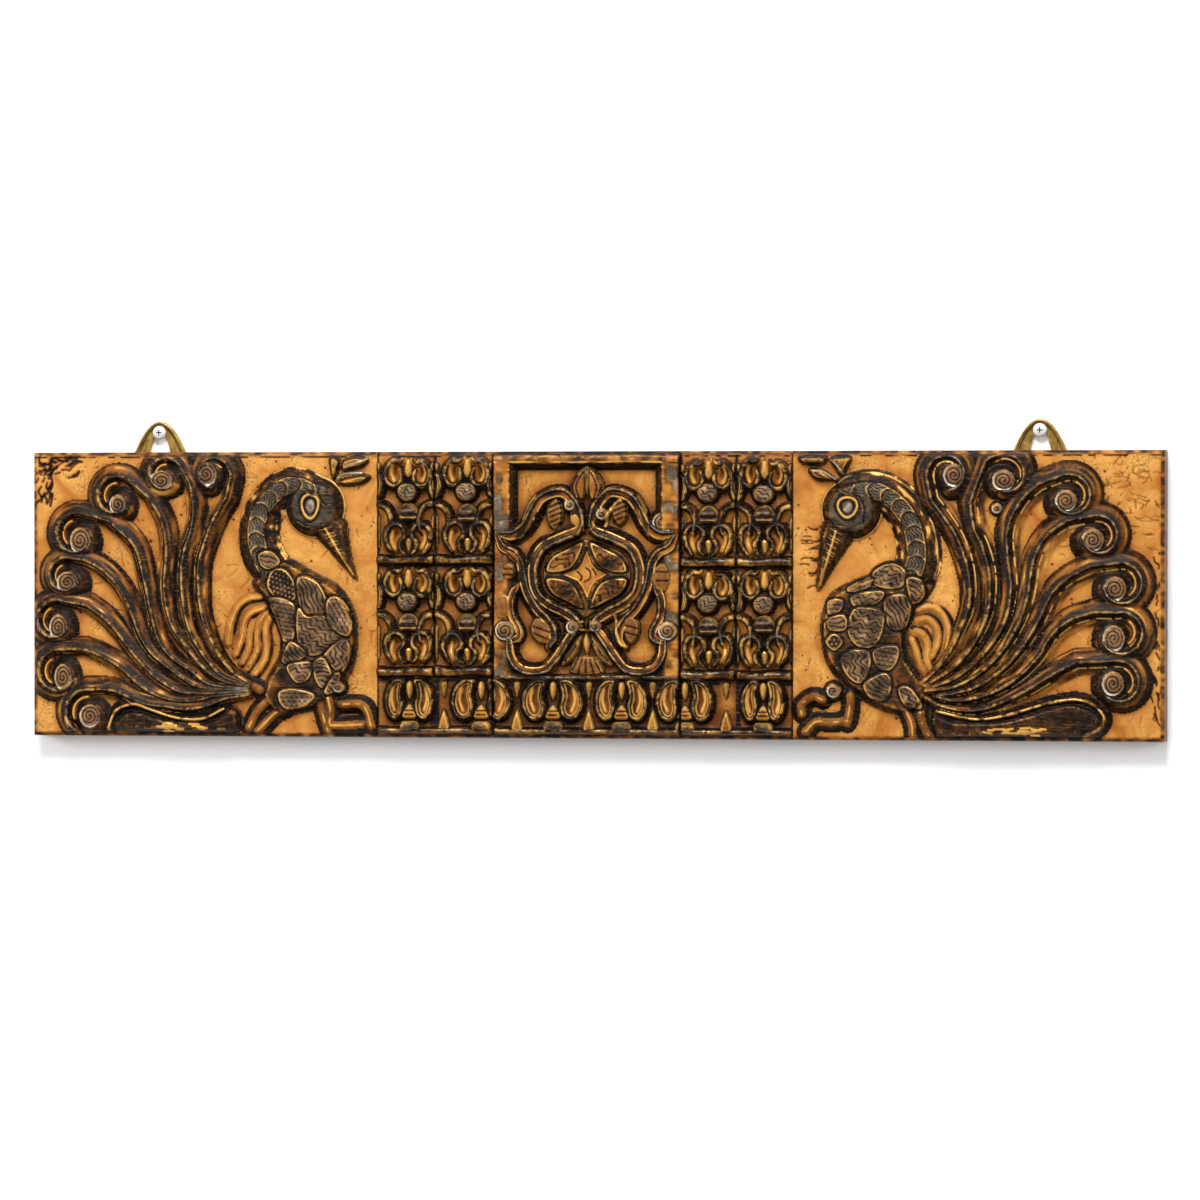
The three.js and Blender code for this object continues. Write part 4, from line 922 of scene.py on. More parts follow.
def bottom_row(relief, pairs, left, right):
    """The row of larger drops, with petals and wedges between them."""
    place, _, _ = relief.window((left, 79.5), (right, 98.6))
    relief.paint(place, 1.0, tone=0.7)
    for first, second in pairs:
        middle, wide, tall = (first + second) / 2, (second - first) / drop_spread, 1.42
        for turn in (-1, 1):
            drop, flame = ([(middle + turn * wide * u, row_top + tall * v) for u, v in line]
                           for line in (closed_drop, flame_line))
            hollow(relief, smooth(drop, 0.8, closed=True)[:-1], rim=0.95, floor=0.26, tone=0.82)
            thread(relief, flame, 0.6, 0.16, tone=1.0, gold=0.6)
        form(relief, egg((middle, 83.4), 1.3, 3.4, taper=-0.3)[:-1:3], top=0.7, wall=0.7, dome=0.1,
             tone=0.9, wall_tone=0.15, silver=0.0, rim=0.6)
        wedge = [(middle, 88), (middle + 2.9, 92.8), (middle, 93.5), (middle - 2.9, 92.8)]
        form(relief, wedge, top=0.7, wall=0.7, dome=0.08, tone=0.75, silver=0.1, rim=0.6)
        for level in (90.4, 91.8):
            groove(relief, [(middle - 1.6, level), (middle + 1.6, level)], 0.28, 0.08)
        block = [(middle - 3, 94.3), (middle, 93.9), (middle + 3, 94.3), (middle + 3.3, 97.2),
                 (middle - 3.3, 97.2)]
        form(relief, block, top=0.8, wall=0.7, dome=0.08, tone=0.14, silver=0.4, rim=0.25)
    for (_, before), (after, _) in zip(pairs[:-1], pairs[1:]):
        u = (before + after) / 2
        low_petal = [(u - 2.2, 97.6), (u - 1.5, 92.6), (u, 89.4), (u + 1.5, 92.6), (u + 2.2, 97.6)]
        form(relief, low_petal, top=0.5, wall=1.0, tone=0.62, silver=0.0, rim=0.6)
        high_petal = [(u - 1.2, 80.4), (u + 1.2, 80.4), (u + 0.9, 84), (u, 86.4), (u - 0.9, 84)]
        form(relief, high_petal, top=0.5, wall=0.8, tone=0.5, silver=0.1, rim=0.4)
    bar(relief, left + 0.4, right - 0.4, 97.4, 0.1, 0.7, 0.62)


print("a tile is", round(20.7 * unit * 1000), "mm wide")


# %% [markdown]
# ## The centre
# Inside a plain frame, two scrolls rise from the sides and join a ring round a four-pointed star.
# Veined leaves fill the corners. It is drawn for the left half and mirrored to the right, except for
# the small leaves, which the carver changed from side to side.

# %% Laying the centre field
medallion = (199.4, 42.9)


def flip(points):
    """The same places on the other side of the medallion's upright axis."""
    return [(2 * medallion[0] - u, v) for u, v in points]


def turn_over(points):
    """The same places mirrored below the medallion's middle."""
    return [(u, 86.4 - v) for u, v in points]


ribbon_section = {
    "at": (-1.8, -0.9, -0.45, 0.0, 0.4, 0.7, 1.5, 2.2, 2.5, 2.9, 3.4, 5.0),
    "height": (0.0, 0.6, 0.93, 1.0, 0.94, 0.8, 0.72, 0.74, 0.78, 0.7, 0.5, 0.0),
    "tone": (0.3, 0.05, 0.0, 0.15, 0.0, 0.12, 0.42, 0.4, 0.5, 0.02, 0.1, 0.4),
}


def ribbon(relief, points, hand=1, size=1.0, top=0.96):
    """A strand of the centre's scrollwork: a waxed ridge on one edge and a brown band beside it."""
    path = smooth(points)
    widths = ((0, 0.08, 0.9, 1), (0.5 * size, size, size, 0.6 * size))
    place, s, along = stroke(relief, path, ribbon_section, hand, widths, top)
    edge = peak(s - 2.5, 0.3) * dashes(along, line_length(path), 0.75)
    relief.paint(place, edge * (relief.height[place] > 0.3), gold=0.85)


def leaf(relief, points, veins=(), tone=0.5, wall=1.1, silver=0.1):
    """A flat leaf, with a fine groove for each vein."""
    form(relief, points, top=0.78, wall=wall, dome=0.08, tone=tone, silver=silver, rim=0.45, spacing=0.8)
    for vein in veins:
        groove(relief, vein, 0.3, 0.09)


# %% [markdown]
# The frame is clean only at its top. Further down its inner step was cut away for the scrolls, and
# its worn face shows dark and silver patches. The scrollwork is laid strand by strand, so that each
# one crosses the last.

# %% Frame and scrollwork
def centre_frame(relief, left, right):
    """Two upright strips and one along the top."""
    place, across, down = relief.window((left, 1.4), (right, 78.6))
    relief.paint(place, 1.0, tone=0.86)
    patch, rough = mottle(across, down, (2.6, 3.4)), mottle(across, down, (3.2, 0.8))
    upper_part = clamp((28.5 - down) / 1.5)
    for near in (left, right):
        inner = np.abs(across - near) - 5.0 - upper_part
        on_strip = inner < 0
        height = np.interp(inner, (-6.1, -0.2, 0.2, 2.9),
                           (0.9, 0.93, 0.88, 0.0)) * (0.62 + 0.38 * upper_part)
        relief.lay(place, height + (0.07 * rough - 0.07) * on_strip,
                   np.where(on_strip, 0.02 + 0.8 * patch + 0.25 * rough, 0.16 + 0.3 * (1 - upper_part)),
                   silver=0.55 * clamp(2.2 - 4.6 * patch) * on_strip,
                   gold=peak(inner, 0.35) * 0.5 * upper_part * rough * 1.6)
    inner = down - 4.0
    height = np.interp(inner, (-2.8, -0.2, 0.3, 2.6), (0.9, 0.92, 0.86, 0.0))
    relief.lay(place, height + (0.1 * rough - 0.1) * (inner < 0),
               np.where(inner < 0, 0.15 + 0.6 * patch, 0.05), silver=0.15,
               gold=peak(inner + 0.2, 0.4) * np.clip(1.6 * rough - 0.1, 0, 0.9))


def scrollwork(relief):
    """The ring, the scrolls above and below it, and the strands outside them, left and right."""
    ring = [(198.2, 25), (196.4, 28.6), (191, 30.8), (184.6, 34), (182, 38.6), (181.4, 43), (182.6, 48.6),
            (186.4, 52.4), (191.8, 55), (195.6, 57.6), (198, 61)]
    upper = [(168.6, 28.2), (173.4, 28), (177.2, 25), (179.8, 20), (182.6, 15.8), (187, 13.6),
             (191.4, 13.4), (194.8, 16), (197.4, 20.4), (198.4, 26)]
    lower = [(168.2, 29.2), (170.6, 32.8), (174.4, 34.8), (177, 38.6), (178, 44), (179.4, 49),
             (182.6, 54.4), (185.8, 57.6), (188.4, 61.6), (188.6, 65.4), (186.6, 68)]
    cradle = [(171.4, 64), (171.8, 71), (175, 75.8), (180, 77.4), (185.6, 76.4), (189.4, 72.4), (193, 67),
              (197.6, 60.4)]
    outside = [(175.6, 47), (173.6, 52), (174, 57.4), (176.4, 62), (176.2, 65.4), (172.4, 67)]
    for points, hand, size in ((outside, 1, 0.75), (ring, 1, 0.9), (upper, 1, 1.0), (lower, 1, 0.85),
                               (cradle, -1, 0.8)):
        ribbon(relief, points, hand, size)
        ribbon(relief, flip(points), -hand, size)


# %% [markdown]
# The medallion is a low shield with four engraved quarters, and its star is cut right through to the
# ground.

# %% Medallion
def star_field(relief):
    """The shield inside the ring, its four quarters and the sunk star."""
    field = [(198.8, 30.6), (192.4, 33), (186.8, 35.6), (184.4, 39.6), (184, 44), (185.8, 48.8), (190, 52),
             (195, 54.4), (198.8, 58)]
    form(relief, field + flip(field[1:-1])[::-1], top=0.5, wall=0.7, dome=0.06, tone=0.34, wall_tone=0.02,
         silver=0.1, rim=0.3)
    quarter = [(198.4, 31.6), (192, 34), (186.8, 37), (185, 42), (190.6, 42.2), (195.4, 39.6)]
    low_quarter = turn_over(quarter)
    for points, angle in ((quarter, 20), (flip(quarter), -25), (low_quarter, -35), (flip(low_quarter), 30)):
        plate(relief, points, "waves", angle, lift=0.08, pitch=1.9, silver=0.22, gap=0.4, grow=0)
    star = [(199.4, 33.6), (201.2, 38.8), (202.8, 40.8), (207, 42.9), (202.8, 45.2), (201.2, 47.2),
            (199.6, 52), (197.4, 47.2), (195.8, 45.2), (190, 42.9), (195.8, 40.8), (197.4, 38.8)]
    place, depth, _, _ = relief.inside(star, 1.4)
    floor = np.interp(depth, (-0.9, 0.1, 0.6, 3), (1.2, 0.2, 0.12, 0.22))
    relief.height[place] = np.minimum(relief.height[place], floor)
    relief.paint(place, clamp(depth / 0.5 + 0.5), tone=0.95, silver=0.0, gold=0.0)
    relief.paint(place, peak(depth + 0.25, 0.35), **stain)
    relief.paint(place, peak(depth - 0.55, 0.25) * 0.8, gold=0.8)
    for line in ([(199, 40.6), (200.6, 42), (200.4, 44.4), (198.6, 45.4)],
                 [(196, 42), (197.6, 43.6), (197, 45)], [(201.4, 41), (202.6, 43)]):
        groove(relief, line, 0.26, 0.06)


# %% [markdown]
# A two-lobed palmette stands at the top and a fan at the foot. Veined leaves, small scroll buttons
# and slim petals fill what is left, each in its own place.

# %% Leaves and buttons of the centre
def upper_leaves(relief):
    """The palmette at the top, and what fills the space above the ring's shoulders."""
    for sign in (-1, 1):
        lobe = [(0.4, 5.4), (2.4, 6.2), (4.8, 8.6), (6.2, 12.4), (4.6, 16.4), (2, 17.4), (0.4, 15)]
        veins = [[(1.4, 7.4), (3.6, 12), (2.6, 16.4)], [(3.2, 8.4), (5, 12.2), (4, 15.6)]]
        outline, *veins = (moved(line, 199.6, turn=sign) for line in (lobe, *veins))
        leaf(relief, outline, veins, tone=0.62)
    form(relief, [(198.8, 5.4), (200.4, 5.4), (200.2, 12), (199.6, 17), (199, 12)], top=0.82, wall=0.6,
         tone=0.12, silver=0.3, rim=0.2)
    leaf(relief, [(188.8, 15.8), (191.2, 20), (190.8, 25), (188.4, 28), (185.6, 25.4), (185.2, 20)],
         [[(186.6, v), (190.4, v - 1.6)] for v in (19.5, 21.3, 23.1, 24.9, 26.6)], silver=0.35)
    leaf(relief, [(211.4, 15.6), (214, 19), (213.6, 24), (211, 26.4), (208.4, 23.4), (208.6, 18.4)],
         [[(209.4, v), (213.2, v - 1.6)] for v in (19, 20.8, 22.6, 24.4)], silver=0.35)
    button(relief, (193.6, 18.6), 1.9, 1.0, 0.86)
    button(relief, (205, 21.8), 2.0, 1.0, 0.86)
    leaf(relief, [(193.4, 22.4), (196, 21.4), (197.8, 24), (196.6, 26.6), (193.8, 25.4)], wall=0.8,
         tone=0.8)
    thread(relief, [(206, 26), (207.4, 21), (209.4, 18.4)], 0.5, 0.14)


def side_leaves(relief):
    """The small leaves, the button and the slim petals along the frame."""
    leaf(relief, [(171.4, 38.2), (174.2, 39.4), (174, 43.6), (171.4, 45.4), (169, 43), (169.2, 40)],
         [[(170.4, 41), (173.2, 41)], [(170.4, 43), (173, 43)]])
    leaf(relief, [(170, 35), (173, 34.2), (176.2, 36.4), (175.6, 40), (172.6, 38)],
         [[(171.6, 35.4), (175, 38.6)]], wall=0.8)
    leaf(relief, [(227.6, 38.6), (224, 39.4), (222, 43), (223, 47.4), (227.4, 49.4), (229.6, 44)],
         [[(224.4, 42), (228, 42)], [(224.4, 45), (228, 45)]])
    button(relief, (226.4, 25), 3.6, 1.6, 0.84)
    leaf(relief, [(217, 14.6), (220, 18), (222.4, 25), (221.6, 31), (218.6, 26), (217, 20)], wall=1.0,
         tone=0.2, silver=0.0)
    leaf(relief, [(181.8, 14.6), (178.4, 18), (175.6, 25), (172.6, 30.6), (176.8, 30.8), (180, 26),
                  (182, 20)], wall=1.0, tone=0.12, silver=0.0)


def lower_leaves(relief):
    """The leaves and buttons below the ring, and the fan at the foot."""
    leaf(relief, [(179.4, 60), (182, 57.4), (186.4, 59.4), (187.8, 63.6), (186.4, 67.4), (182, 66.8),
                  (179.6, 64)], [[(180.8, 61), (186.6, 63)], [(181, 63.4), (186, 65.4)]], silver=0.3)
    leaf(relief, [(212.6, 58), (216, 57), (218.4, 60), (217.8, 65), (214.8, 67.4), (212.4, 64)],
         [[(213.4, 60.6), (217.4, 61.6)], [(213.4, 63), (217.2, 64)]], silver=0.3)
    thread(relief, [(209.5, 57), (210, 62), (211.5, 66.5), (213.5, 68)], 0.5, 0.16)
    buttons = (((194.6, 61.2), 2.3), ((202.6, 60.8), 2.0), ((170.6, 62.4), 3.4), ((228, 62.4), 3.2))
    for centre, radius in buttons:
        button(relief, centre, radius, 1.3, 0.86)
    leaf(relief, [(167.4, 50.2), (172, 50), (172.4, 57.6), (167.4, 58)], wall=0.9, silver=0.3)
    for sign in (-1, 1):
        long_leaf, vein = (moved(line, medallion[0], turn=sign) for line in (
            [(1.4, 63.4), (5, 67), (9.4, 74.6), (5.4, 73.6), (2, 69)], [(2.4, 66), (7.4, 73)]))
        leaf(relief, long_leaf, [vein], tone=0.34)
    leaf(relief, [(199.2, 63), (200.8, 67), (199.6, 71), (198, 67)], wall=0.7, tone=0.8)
    middle = medallion[0]
    fan = [[(u, 72.2), (middle + (u - middle) * 1.9, 77)] for u in (196.6, 198, 199.4, 200.8, 202.2)]
    leaf(relief, [(196, 71.4), (203, 71.4), (205.6, 77.6), (193.6, 77.6)], fan, silver=0.3)


def centre_field(relief, left, right):
    """The whole centre, in the order in which one form overlaps the next."""
    centre_frame(relief, left, right)
    for lay_next in (scrollwork, star_field, upper_leaves, side_leaves, lower_leaves):
        lay_next(relief)
    bar(relief, left + 0.4, right - 0.4, 78.6, 0.3, 0.7, 0.6)
    groove(relief, [(left, 80.2), (right, 80.2)], 0.6, 0.3)


off_middle = (medallion[0] - grid_across / 2) * unit
print(f"the medallion stands {off_middle * 1000:.1f} mm off the panel's middle")


# %% [markdown]
# ## Marks on the ground
# The flat ground isn't blank: it has chips at one corner, rough scraped patches, fine scratches and
# the dark dots of old pin holes. The larger marks are cut here, and the finest are left to the
# wood's finish.

# %% Chips, scrapes and low leaves
def scratches(relief, low, high, count, length, angle=(0, 180), depth=0.04, width=0.2, tone=0.55):
    """Bent scratches on the ground between two corners; forms that stand there are left alone."""
    for _ in range(count):
        start = np.array([chance.uniform(low[0], high[0]), chance.uniform(low[1], high[1])])
        turn = math.radians(chance.uniform(*angle))
        reach = chance.uniform(*length)
        bend = chance.normal(0, 0.25, 2) * reach * 0.4
        heading = np.array([math.cos(turn), -math.sin(turn)])
        middle = start + heading * reach / 2 + bend
        end = start + heading * reach
        place, distance, _ = relief.trace(smooth([start, middle, end]), 1.2)
        weight = peak(distance, width) * (relief.height[place] < 0.05)
        relief.height[place] -= depth * weight
        relief.paint(place, weight, tone=tone)


def bottom_leaf(relief, body, ridge, second, strip, marks=14):
    """The long low leaf under a tail, with short gold touches on a strip of the bottom edge."""
    form(relief, body, top=0.76, wall=2.0, dome=0.1, tone=0.16, wall_tone=0.1, silver=0.12, rim=0.3)
    stem(relief, ridge, 0.7, 0.92, tone=0.1, silver=0.2, gold=0.9)
    thread(relief, second, 0.4, 0.06, tone=0.2, silver=0.45)
    for _ in range(marks):
        u = strip[0] + (strip[1] - strip[0]) * chance.random()
        v = 95.4 + 3 * chance.random()
        thread(relief, [(u, v), (u + 1.6 + 2 * chance.random(), v + chance.normal(0, 0.3))], 0.4, 0.05)


def pits(relief, count):
    """Old pin holes and the small knocks between them."""
    u = chance.uniform(relief.u[0] + 1, relief.u[-1] - 1, count)
    v = chance.uniform(3, 97, count)
    for a, b, size in zip(u, v, chance.uniform(0.2, 0.42, count)):
        place, across, down = relief.window((a - 1.2, b - 1.2), (a + 1.2, b + 1.2))
        weight = peak(np.hypot(across - a, down - b), size)
        relief.height[place] -= 0.12 * weight
        relief.paint(place, weight, tone=0.0, gold=0.0)


print("chips, scrapes and pin holes ready")


# %% [markdown]
# ## Carving the five fields
# The plank is carved in five fields that meet at the block's upright seams. Each becomes one closed
# piece: the carved face, straight sides, and a flat back that lies on the rest of the plank. The
# plank's outer edges are rounded over, and the carving runs out into them.

# %% From a relief to a closed piece
def linked(name, data):
    """A new object at the origin that holds the data."""
    made = bpy.data.objects.new(name, data)
    bpy.context.scene.collection.objects.link(made)
    return made


def finished(name, shape):
    """A new object made from a bmesh, which is used up by it."""
    mesh = bpy.data.meshes.new(name)
    shape.to_mesh(mesh)
    shape.free()
    return linked(name, mesh)


def outer_edge(relief):
    """How deep the face may stand at each place: the plank's rounded edge, then a steep run-out."""
    across, down = np.meshgrid(relief.u, relief.v)
    inset = np.minimum.reduce([across, grid_across - across, down, grid_down - down])
    turn = edge_round / unit
    off_round = 1 - clamp(inset / turn)
    rounded = ground_level - edge_round * (1 - np.sqrt(clamp(1 - off_round**2)))
    return rounded + np.clip(inset - turn, 0, None) * unit * run_out, inset


def worn_edges(relief, across, down, inset):
    """The plank's edges are rubbed bare in places, and a broken dark line runs under the top one."""
    worn = mottle(across, down, (2.2, 1.4))
    whole = (slice(None), slice(None))
    line = peak(down - 1.8, 0.3)
    relief.paint(whole, clamp(1.9 - inset), tone=0.1 + 0.75 * worn, silver=0.0, gold=0.0)
    relief.paint(whole, line * clamp(4 * worn - 1.4), **stain)


def closed_piece(name, relief):
    """The carved face, straight sides and a flat back, with the finish layers as attributes; the hollow and
    crest layers also carry painted shade and highlight.
    """
    soft = blur(relief.height, 0.5 / relief.cell) * 0.35 + relief.height * 0.65
    soft = np.where(soft > high_forms, high_forms + (soft - high_forms) * 0.5, soft)
    # painted shade and highlight: hollow is how far a place lies below its blurred surroundings, and it
    # darkens recesses as stain and as shade; crest is how far a place stands above them, and it lightens
    # edges as wear and as highlight
    hollow_stain_and_shade_share = clamp((blur(soft, 1.5 / relief.cell) - soft) * 2.6)
    crest_wear_and_highlight_share = clamp((soft - blur(soft, 0.7 / relief.cell)) * 5.0)
    limit, inset = outer_edge(relief)
    depth = np.minimum(ground_level + soft * ground_depth, limit)
    across, down = np.meshgrid(relief.u, relief.v)
    worn_edges(relief, across, down, inset)
    x, z = (across - grid_across / 2) * unit, (grid_down / 2 - down) * unit_down
    face = np.stack([x, -depth, z], -1).reshape(-1, 3)
    rows, columns = across.shape
    index = np.arange(rows * columns).reshape(rows, columns)
    quads = np.stack([index[:-1, :-1], index[1:, :-1], index[1:, 1:], index[:-1, 1:]], -1).reshape(-1, 4)
    ring = np.concatenate([index[0, :-1], index[:-1, -1], index[-1, :0:-1], index[:0:-1, 0]])
    back = face[ring] * (1, 0, 1) + (0, -joint_depth, 0)
    low = np.arange(len(ring)) + len(face)
    walls = np.stack([ring, np.roll(ring, -1), np.roll(low, -1), low], 1)
    mesh = bpy.data.meshes.new(name)
    mesh.from_pydata(np.vstack([face, back]).tolist(), [], quads.tolist() + walls.tolist() + [low.tolist()])
    smooth_faces = np.zeros(len(mesh.polygons), bool)
    smooth_faces[:len(quads)] = True
    mesh.polygons.foreach_set("use_smooth", smooth_faces)
    layers = {"tone": relief.tone, "silver": relief.silver, "gold": relief.gold,
              "hollow": hollow_stain_and_shade_share, "crest": crest_wear_and_highlight_share}
    for layer, values in layers.items():
        border = np.full(len(ring), 0.5 if layer == "tone" else 0.0)
        shares = np.concatenate([clamp(values.ravel()), border]).astype(np.float32)
        mesh.attributes.new(layer, "FLOAT", "POINT").data.foreach_set("value", shares)
    mesh.update()
    print(f"{name}: {2 * len(quads) + 2 * len(walls) + len(ring) - 2} triangles")
    return linked(name, mesh)


# %% [markdown]
# The left bird's field comes first: ground marks, low leaves, tail, then the bird over the tail's
# root, in the order in which one form overlaps the next.

# %% The bird fields
block_left, centre_left, centre_right, block_right = 124.6, 166.1, 232.3, 271.7
bird_cell = 0.365
left_field = Relief(0, block_left, bird_cell)
bottom_leaf(left_field,
            [(28.3, 97.5), (31, 93), (34, 90.5), (40, 90.4), (48, 92.6), (57.9, 94.6), (66.5, 92.6),
             (72, 89), (76, 92), (74, 98.6), (50, 99)],
            [(28.3, 97), (30, 92.5), (32.5, 90), (38, 88.7), (43.2, 90.5), (52.8, 93.4), (62.3, 93.7),
             (70, 90.2)],
            [(43.2, 94), (51.2, 95.3), (60.4, 94.9)], (44, 62))
tail(left_field, left_feathers, 1)
bird(left_field, left_bird, 1)
scratches(left_field, (1, 1.6), (15, 9), 26, (1.5, 5), (-20, 50), depth=0.12, width=0.4, tone=0.15)
scratches(left_field, (0.6, 4), (7, 19), 26, (1.5, 4.5), (40, 100), depth=0.12, width=0.4, tone=0.1)
scratches(left_field, (2, 18), (60, 98), 60, (1, 5))
scratches(left_field, (60, 4), (124, 96), 70, (1, 5))
pits(left_field, 90)

right_field = Relief(block_right, grid_across, bird_cell)
bottom_leaf(right_field,
            [(320, 89.4), (330, 92.4), (345, 91.8), (358, 88), (368, 86), (376, 88), (379.6, 92), (378, 96),
             (373, 98.4), (345, 99), (322, 98.6)],
            [(322, 89.8), (335, 92.4), (345, 91.3), (354, 88.7), (362, 86.5), (370, 85.5), (376, 87.5),
             (379.6, 91.6), (378, 95.4), (373, 98)],
            [(334, 94.6), (344, 94.2), (356, 91.4)], (338, 358))
tail(right_field, right_feathers, -1)
bird(right_field, right_bird, -1)
button(right_field, (342.5, 20), 1.8, 1.0, 0.5)
scratches(right_field, (358, 1.6), (397, 34), 80, (1, 4.5), (-25, 25), depth=0.05, width=0.22, tone=0.55)
scratches(right_field, (376, 1.6), (398, 24), 24, (1, 3), (50, 120), depth=0.05, width=0.24, tone=0.45)
scratches(right_field, (396, 30), (399.4, 98), 40, (1, 3), (60, 120), depth=0.06, width=0.3, tone=0.2)
scratches(right_field, (274, 26), (282, 48), 24, (1.5, 4), (-20, 30), depth=0.08, width=0.3, tone=0.3)
scratches(right_field, (285, 26), (398, 97), 90, (1, 5))
pits(right_field, 100)

left_piece = closed_piece("carved_left_bird", left_field)
right_piece = closed_piece("carved_right_bird", right_field)

# %% [markdown]
# The block in the middle is finer work, so its squares are smaller. Two pairs of drops in the bottom
# row straddle the centre's edges, so each is laid on both of the fields that share it.

# %% The block's fields
block_cell = 0.32
first_shared, second_shared = (155.9, 168), (228.2, 239.7)
left_block = Relief(block_left, centre_left, block_cell)
tile_block(left_block, (block_left, 145.3, centre_left), (136.0, 157.0), (2.0, 40.5), (37.6, 77), 79.4)
bottom_row(left_block, [(131.4, 141.4), first_shared], block_left, centre_left)
centre_block = Relief(centre_left, centre_right, block_cell)
centre_field(centre_block, centre_left, centre_right)
centre_pairs = [first_shared, (181.2, 193.7), (206.4, 217), second_shared]
bottom_row(centre_block, centre_pairs, centre_left, centre_right)
right_block = Relief(centre_right, block_right, block_cell)
tile_block(right_block, (centre_right, 251.9, block_right), (242.3, 261.9), (2.8, 41.2), (38.6, 77.8), 80)
bottom_row(right_block, [second_shared, (257.1, 265.8)], centre_right, block_right)
block_pieces = []
for name, field, edges in (
    ("carved_left_tiles", left_block, (block_left, centre_left)),
    ("carved_centre", centre_block, (centre_left, centre_right)),
    ("carved_right_tiles", right_block, (centre_right, block_right)),
):
    for edge in edges:
        cut_seam(field, edge, 0, grid_down, 0.5, 0.5)
    field.height = np.clip(field.height, -0.06, 1.1)
    block_pieces.append(closed_piece(name, field))

# %% [markdown]
# ## The back of the plank
# Behind the carving the plank is plain, with two shallow recesses for the hangers' tangs and holes
# for their screws. The solid already has them exactly, so a copy of it is cut off at the joint depth.

# %% The plain back
back_mesh = bmesh.new()
back_mesh.from_mesh(frame["nodes"]["panel"].data)
bmesh.ops.remove_doubles(back_mesh, verts=back_mesh.verts, dist=1e-6)
everything = back_mesh.verts[:] + back_mesh.edges[:] + back_mesh.faces[:]
joint, forward = (0, -joint_depth, 0), (0, -1, 0)
cut = bmesh.ops.bisect_plane(back_mesh, geom=everything, plane_co=joint, plane_no=forward, clear_outer=True)
rim = [edge for edge in cut["geom_cut"] if isinstance(edge, bmesh.types.BMEdge)]
bmesh.ops.triangle_fill(back_mesh, edges=rim, use_beauty=True)
bmesh.ops.recalc_face_normals(back_mesh, faces=back_mesh.faces)
print("open edges on the plank's back:", sum(len(edge.link_faces) != 2 for edge in back_mesh.edges))
back_piece = finished("plank_back", back_mesh)

# %% [markdown]
# ## Writing materials as arithmetic
# A material is a small sum of masks and colours. The class below wraps a socket so that such a sum
# can be written as Python; any other node comes from one method that takes its type, its settings
# and what feeds its sockets.

# %% Sockets that can be added and multiplied
class Value:
    def __init__(self, shop, socket):
        self.shop, self.socket = shop, socket

    def _with(self, operation, *others, swap=False):
        feeds = [self, *others]
        if swap:
            feeds.reverse()
        return self.shop.node("Math", {"operation": operation}, *feeds)

    def __add__(self, other): return self._with("ADD", other)
    def __radd__(self, other): return self._with("ADD", other)
    def __sub__(self, other): return self._with("SUBTRACT", other)
    def __rsub__(self, other): return self._with("SUBTRACT", other, swap=True)
    def __mul__(self, other): return self._with("MULTIPLY", other)
    def __rmul__(self, other): return self._with("MULTIPLY", other)

    def high(self, other): return self._with("MAXIMUM", other)
    def low(self, other): return self._with("MINIMUM", other)

    def ramp(self, start, end):
        """0 below the start, 1 above the end, a soft curve between."""
        settings = {"interpolation_type": "SMOOTHSTEP", "clamp": True}
        return self.shop.node("MapRange", settings, self, start, end, 0.0, 1.0)


class Finish:
    """One material and the nodes that make it up."""

    def __init__(self, name):
        self.material = bpy.data.materials.new(name)
        self.material.use_nodes = True
        self.tree = self.material.node_tree
        self.tree.nodes.clear()

    def feed(self, socket, value):
        if isinstance(value, Value):
            self.tree.links.new(value.socket, socket)
        elif value is not None:
            socket.default_value = value

    def node(self, kind, settings=None, *feeds, out=0, **named):
        """Any shader node: its settings, then what feeds its sockets in order or by name."""
        made = self.tree.nodes.new("ShaderNode" + kind)
        for key, value in (settings or {}).items():
            if key == "stops":
                ramp = made.color_ramp
                while len(ramp.elements) < len(value):
                    ramp.elements.new(0.5)
                for element, (position, colour) in zip(ramp.elements, value):
                    element.position, element.color = position, (*colour, 1)
            else:
                setattr(made, key, value)
        sockets = [socket for socket in made.inputs if socket.enabled]
        by_name = {socket.name: socket for socket in reversed(sockets)}
        pairs = list(zip(sockets, feeds))
        pairs += [(by_name[key.replace("_", " ")], value) for key, value in named.items()]
        for socket, value in pairs:
            self.feed(socket, value)
        outputs = [socket for socket in made.outputs if socket.enabled]
        return Value(self, outputs[out]) if outputs else made

    def attribute(self, name):
        """One of the carved layers, from the Attribute node's third output, Fac."""
        return self.node("Attribute", {"attribute_name": name}, out=2)

    def place(self):
        """Object coordinates, the fourth output of the Texture Coordinate node."""
        return self.node("TexCoord", out=3)

    def stretch(self, place, scale):
        return self.node("Mapping", {"vector_type": "POINT"}, Vector=place, Scale=scale)

    def noise(self, place, scale, detail=4.0, rough=0.55, warp=0.0):
        return self.node("TexNoise", {}, Vector=place, Scale=scale, Detail=detail, Roughness=rough,
                         Distortion=warp)

    def blend(self, share, first, second, kind="MIX"):
        """Two colours by a share; numbers in brackets are colours too."""
        pick = [(*c, 1) if isinstance(c, tuple) and len(c) == 3 else c for c in (first, second)]
        made = self.tree.nodes.new("ShaderNodeMix")
        made.data_type, made.blend_type, made.clamp_factor = "RGBA", kind, True
        for k, value in zip((0, 6, 7), (share, *pick)):
            self.feed(made.inputs[k], value)
        return Value(self, made.outputs[2])

    def bump(self, height, strength, distance, under=None):
        return self.node("Bump", {}, Strength=strength, Distance=distance, Height=height, Normal=under)

    def finish(self, **sockets):
        shader = self.node("BsdfPrincipled", {}, **sockets)
        self.node("OutputMaterial", {}, Surface=shader)
        return self.material


print("materials can be written now")


